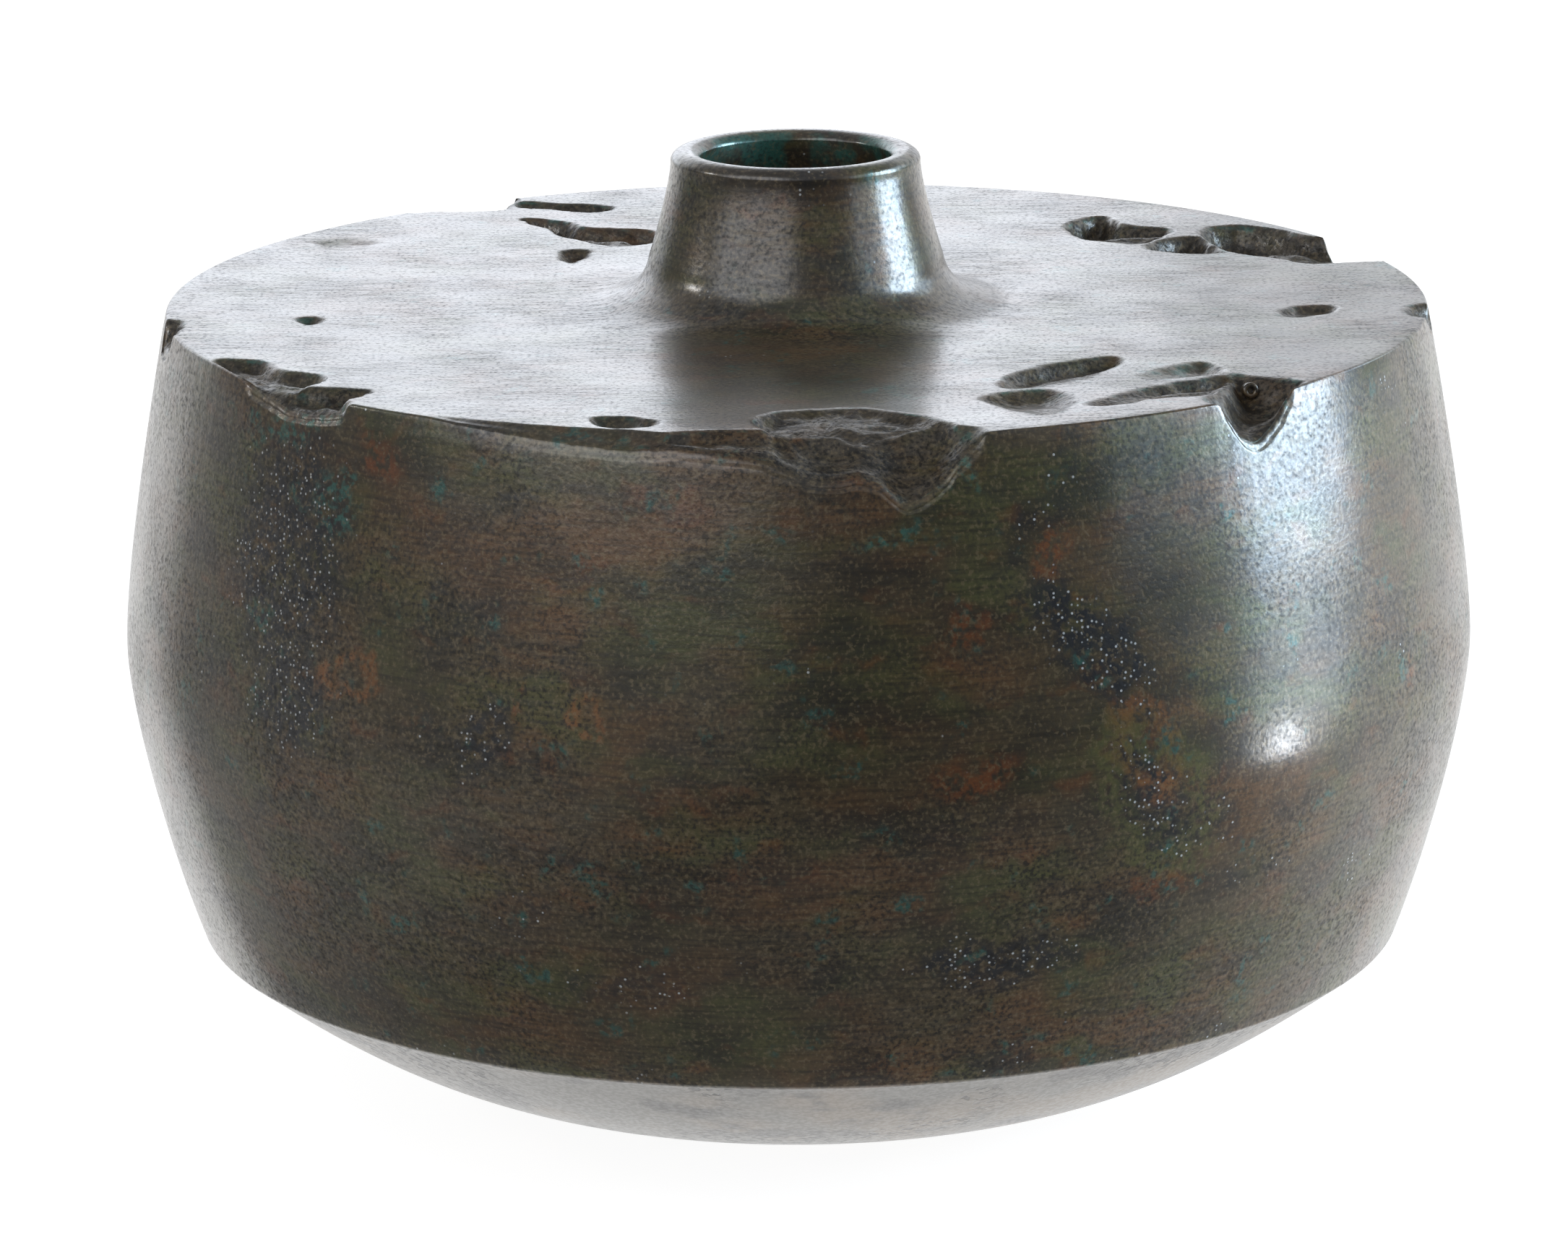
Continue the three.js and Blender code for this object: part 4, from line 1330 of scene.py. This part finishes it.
def mirrored_table(tree):
    """How bright each place on the table looks in the bronze's mirror."""
    where = add(tree, "ShaderNodeTexCoord").outputs["Object"]
    parts = add(tree, "ShaderNodeSeparateXYZ", {0: where})
    across, deep = parts.outputs[0], parts.outputs[1]
    aside = add(tree, "ShaderNodeMath", {0: across}, operation="ABSOLUTE").outputs[0]
    inputs = step(aside, FAN_BESIDE, TABLE_R, 0, TABLE_R - FAN_BESIDE)
    aside = add(tree, "ShaderNodeMapRange", inputs).outputs[0]
    back = add(tree, "ShaderNodeMath", {0: deep, 1: FAN_BEHIND}, operation="ADD").outputs[0]
    turned = add(tree, "ShaderNodeMath", {0: aside, 1: back}, operation="ARCTAN2").outputs[0]
    fan = add(tree, "ShaderNodeMapRange", step(turned, *np.radians(FAN_EDGE)), **SOFT).outputs[0]
    centre = add(tree, "ShaderNodeVectorMath", {0: where}, operation="LENGTH").outputs["Value"]
    disc = add(tree, "ShaderNodeMapRange", step(centre, *DISC_EDGE), **SOFT).outputs[0]
    white = add(tree, "ShaderNodeMath", {0: fan, 1: disc}, operation="MAXIMUM").outputs[0]
    left = add(tree, "ShaderNodeMapRange", step(across, *LEFT_EDGE, 0, TABLE_LEFT), **SOFT).outputs[0]
    right = add(tree, "ShaderNodeMapRange", step(across, *RIGHT_EDGE, 0, TABLE_RIGHT), **SOFT).outputs[0]
    beside = add(tree, "ShaderNodeMapRange", step(deep, *RIGHT_BACK), **SOFT).outputs[0]
    right = add(tree, "ShaderNodeMath", {0: right, 1: beside}, operation="MULTIPLY").outputs[0]
    inputs = step(deep, *FRONT_EDGE, TABLE_FAR, TABLE_DIM)
    front = add(tree, "ShaderNodeMapRange", inputs, **SOFT).outputs[0]
    dim = add(tree, "ShaderNodeMath", {0: left, 1: right}, operation="ADD").outputs[0]
    dim = add(tree, "ShaderNodeMath", {0: dim, 1: front}, operation="ADD").outputs[0]
    return add(tree, "ShaderNodeMath", {0: white, 1: dim}, operation="MAXIMUM").outputs[0]


print("table in the mirror:", TABLE_DIM, "in front,", TABLE_RIGHT, "at the right, 1 behind")

# %% [markdown]
# Light Path tells the material who looks at it. The camera gets the glow with a share of paint, the
# mirror gets the zones above, and everything else gets plain white paint.

# %% Build the table


def white_table():
    """A white table top, bright to the camera and in zones in the bronze's mirror."""
    material, tree = new_tree("white_painted_table")
    rays = add(tree, "ShaderNodeLightPath")
    paint = add(tree, "ShaderNodeBsdfDiffuse", {"Color": linear("#ffffff")}).outputs[0]
    shade = add(tree, "ShaderNodeBsdfDiffuse", {"Color": linear("#888888")}).outputs[0]
    glow = add(tree, "ShaderNodeEmission", {"Strength": TABLE_GLOW}).outputs[0]
    seen = add(tree, "ShaderNodeAddShader", {0: shade, 1: glow}).outputs[0]
    mirror = add(tree, "ShaderNodeEmission", {"Strength": mirrored_table(tree)}).outputs[0]
    inputs = {0: rays.outputs["Is Camera Ray"], 1: paint, 2: seen}
    surface = add(tree, "ShaderNodeMixShader", inputs).outputs[0]
    inputs = {0: rays.outputs["Is Glossy Ray"], 1: surface, 2: mirror}
    surface = add(tree, "ShaderNodeMixShader", inputs).outputs[0]
    add(tree, "ShaderNodeOutputMaterial", {"Surface": surface})
    return material


table = bmesh.new()
bmesh.ops.create_circle(table, cap_ends=True, segments=96, radius=TABLE_R)
table_mesh = bpy.data.meshes.new("table_top")
table.to_mesh(table_mesh)
table.free()
table_top = bpy.data.objects.new("table_top", table_mesh)
bpy.context.scene.collection.objects.link(table_top)
table_top.data.materials.append(white_table())
print("table radius:", round(table_top.dimensions.x / 2, 2), "m")

# %% [markdown]
# ## The room
# To the camera the room is white. In the bronze's mirror only the backdrop behind the vase is
# white. The side towards the camera is dark, with a bright panel at the left, a faint light on the
# left side and another one high up. Plain, even light falls on everything that isn't a mirror.

# %% Measures of the room's light
BACKDROP_TOWARDS = (0, 0.94, 0.34)
BACKDROP_EDGE = (0.47, 0.7)
BACKDROP_TOP = (0.82, 0.5)
PANEL_TOWARDS = (-0.581, -0.771, 0.259)
PANEL_EDGE = (0.76, 0.93)
PANEL_LOW = (0.08, 0.22)
PANEL_GLOW = 1.5
ROOM_DIM = 0.05
ROOM_LEFT = 0.1
ROOM_LEFT_EDGE = (0, -0.8)
ROOM_HIGH = 0.22
ROOM_HIGH_EDGE = (0.12, 0.3)
PLAIN_LIGHT = 0.8


def mirrored_room(tree):
    """How bright each direction of the room looks in the bronze's mirror."""
    toward = add(tree, "ShaderNodeTexCoord").outputs["Generated"]
    sides = add(tree, "ShaderNodeSeparateXYZ", {0: toward})
    inputs = {0: toward, 1: BACKDROP_TOWARDS}
    facing = add(tree, "ShaderNodeVectorMath", inputs, operation="DOT_PRODUCT").outputs["Value"]
    backdrop = add(tree, "ShaderNodeMapRange", step(facing, *BACKDROP_EDGE), **SOFT).outputs[0]
    top = add(tree, "ShaderNodeMapRange", step(sides.outputs[2], *BACKDROP_TOP), **SOFT).outputs[0]
    backdrop = add(tree, "ShaderNodeMath", {0: backdrop, 1: top}, operation="MULTIPLY").outputs[0]
    inputs = {0: toward, 1: PANEL_TOWARDS}
    facing = add(tree, "ShaderNodeVectorMath", inputs, operation="DOT_PRODUCT").outputs["Value"]
    panel = add(tree, "ShaderNodeMapRange", step(facing, *PANEL_EDGE, 0, PANEL_GLOW), **SOFT).outputs[0]
    low_edge = add(tree, "ShaderNodeMapRange", step(sides.outputs[2], *PANEL_LOW), **SOFT).outputs[0]
    panel = add(tree, "ShaderNodeMath", {0: panel, 1: low_edge}, operation="MULTIPLY").outputs[0]
    inputs = step(sides.outputs[0], *ROOM_LEFT_EDGE, ROOM_DIM, ROOM_DIM + ROOM_LEFT)
    left = add(tree, "ShaderNodeMapRange", inputs, **SOFT).outputs[0]
    inputs = step(sides.outputs[2], *ROOM_HIGH_EDGE, 0, ROOM_HIGH)
    high = add(tree, "ShaderNodeMapRange", inputs, **SOFT).outputs[0]
    front = add(tree, "ShaderNodeMath", {0: panel, 1: left}, operation="ADD").outputs[0]
    front = add(tree, "ShaderNodeMath", {0: front, 1: high}, operation="ADD").outputs[0]
    return add(tree, "ShaderNodeMath", {0: backdrop, 1: front}, operation="MAXIMUM").outputs[0]


print("room in the mirror:", ROOM_DIM, "in front,", PANEL_GLOW, "on the panel, 1 behind")

# %% [markdown]
# The world is painted in the same three ways as the table: white to the camera, the zones above in
# the mirror, and plain light for all else.

# %% Paint the room
world = bpy.data.worlds.new("room")
world.use_nodes = True
bpy.context.scene.world = world
tree = world.node_tree
tree.nodes.clear()
rays = add(tree, "ShaderNodeLightPath")
inputs = {"Color": linear("#f4f8ff"), "Strength": mirrored_room(tree)}
mirror = add(tree, "ShaderNodeBackground", inputs).outputs[0]
white = add(tree, "ShaderNodeBackground", {"Color": linear("#ffffff"), "Strength": 1}).outputs[0]
plain = add(tree, "ShaderNodeBackground", {"Color": linear("#ffffff"), "Strength": PLAIN_LIGHT}).outputs[0]
light = add(tree, "ShaderNodeMixShader", {0: rays.outputs["Is Glossy Ray"], 1: plain, 2: mirror}).outputs[0]
light = add(tree, "ShaderNodeMixShader", {0: rays.outputs["Is Camera Ray"], 1: light, 2: white}).outputs[0]
add(tree, "ShaderNodeOutputWorld", {"Surface": light})
bpy.context.scene.view_settings.view_transform = "Standard"
print("room nodes:", len(tree.nodes))

# %% [markdown]
# ## Lamps
# A weak soft box far behind the vase gives the shoulder its silver. The neck carries one broad
# highlight on its right and the wall a soft one below it: a tall soft box stands close by at the
# right. Its light falls off towards its foot and both sides, so three dimmer faces are set round the
# bright one. A small lamp close to the table puts a round spot on the wall, and another one at the
# left gives the neck its short gleam. A lamp's power is worked out from how bright its face is,
# because that is what a mirror shows.

# %% Place the lamps
BOX_BLUE = "#cfe8ff"
RIGHT_BOX = [
    ("right_soft_box_top", 91, 1.2, 0.47, 0.54, 0.7, 14),
    ("right_soft_box_foot", 82, 0.62, 0.06, 0.22, 0.1, 2.2),
    ("right_soft_box_front", 61, 0.62, 0.34, 0.24, 0.34, 1.2),
    ("right_soft_box_back", 112, 0.62, 0.42, 0.22, 0.26, 2.2),
]
SHOULDER_SPOT = (0, 0, 0.17)
WALL_SPOT = (0.101, -0.11, 0.101)
NECK_SPOT = (-0.022, -0.025, 0.182)


def soft_box(name, shape, place, target, size, face_brightness, colour):
    """A lamp that faces a point, with its power worked out from the brightness of its face."""
    data = bpy.data.lights.new(name, "AREA")
    data.shape = shape
    data.size, data.size_y = size
    area = size[0] * size[1] * (math.pi / 4 if shape == "DISK" else 1)
    data.energy = face_brightness * math.pi * area
    data.color = linear(colour)[:3]
    lamp = bpy.data.objects.new(name, data)
    bpy.context.scene.collection.objects.link(lamp)
    lamp.location = place
    lamp.rotation_euler = (Vector(target) - Vector(place)).to_track_quat("-Z", "Y").to_euler()
    lamp.visible_camera = False
    return lamp


def beside(azimuth, distance, height):
    """A place beside the vase, at an azimuth in degrees from the front towards the right."""
    turn = math.radians(azimuth)
    return distance * math.sin(turn), -distance * math.cos(turn), height


soft_box("back_soft_box", "RECTANGLE", (-0.79, 2.4, 0.95), SHOULDER_SPOT, (2.2, 1.3), 0.87, "#eef4ff")
for name, azimuth, distance, middle, wide, tall, glow in RIGHT_BOX:
    place = beside(azimuth, distance, middle)
    soft_box(name, "RECTANGLE", place, (0, 0, middle), (wide, tall), glow, BOX_BLUE)
soft_box("low_lamp", "DISK", (0.422, -0.1165, 0.0246), WALL_SPOT, (0.05, 0.05), 22, "#eef6ff")
soft_box("left_lamp", "DISK", (-1.144, -0.063, 0.606), NECK_SPOT, (0.17, 0.17), 16, "#ffffff")
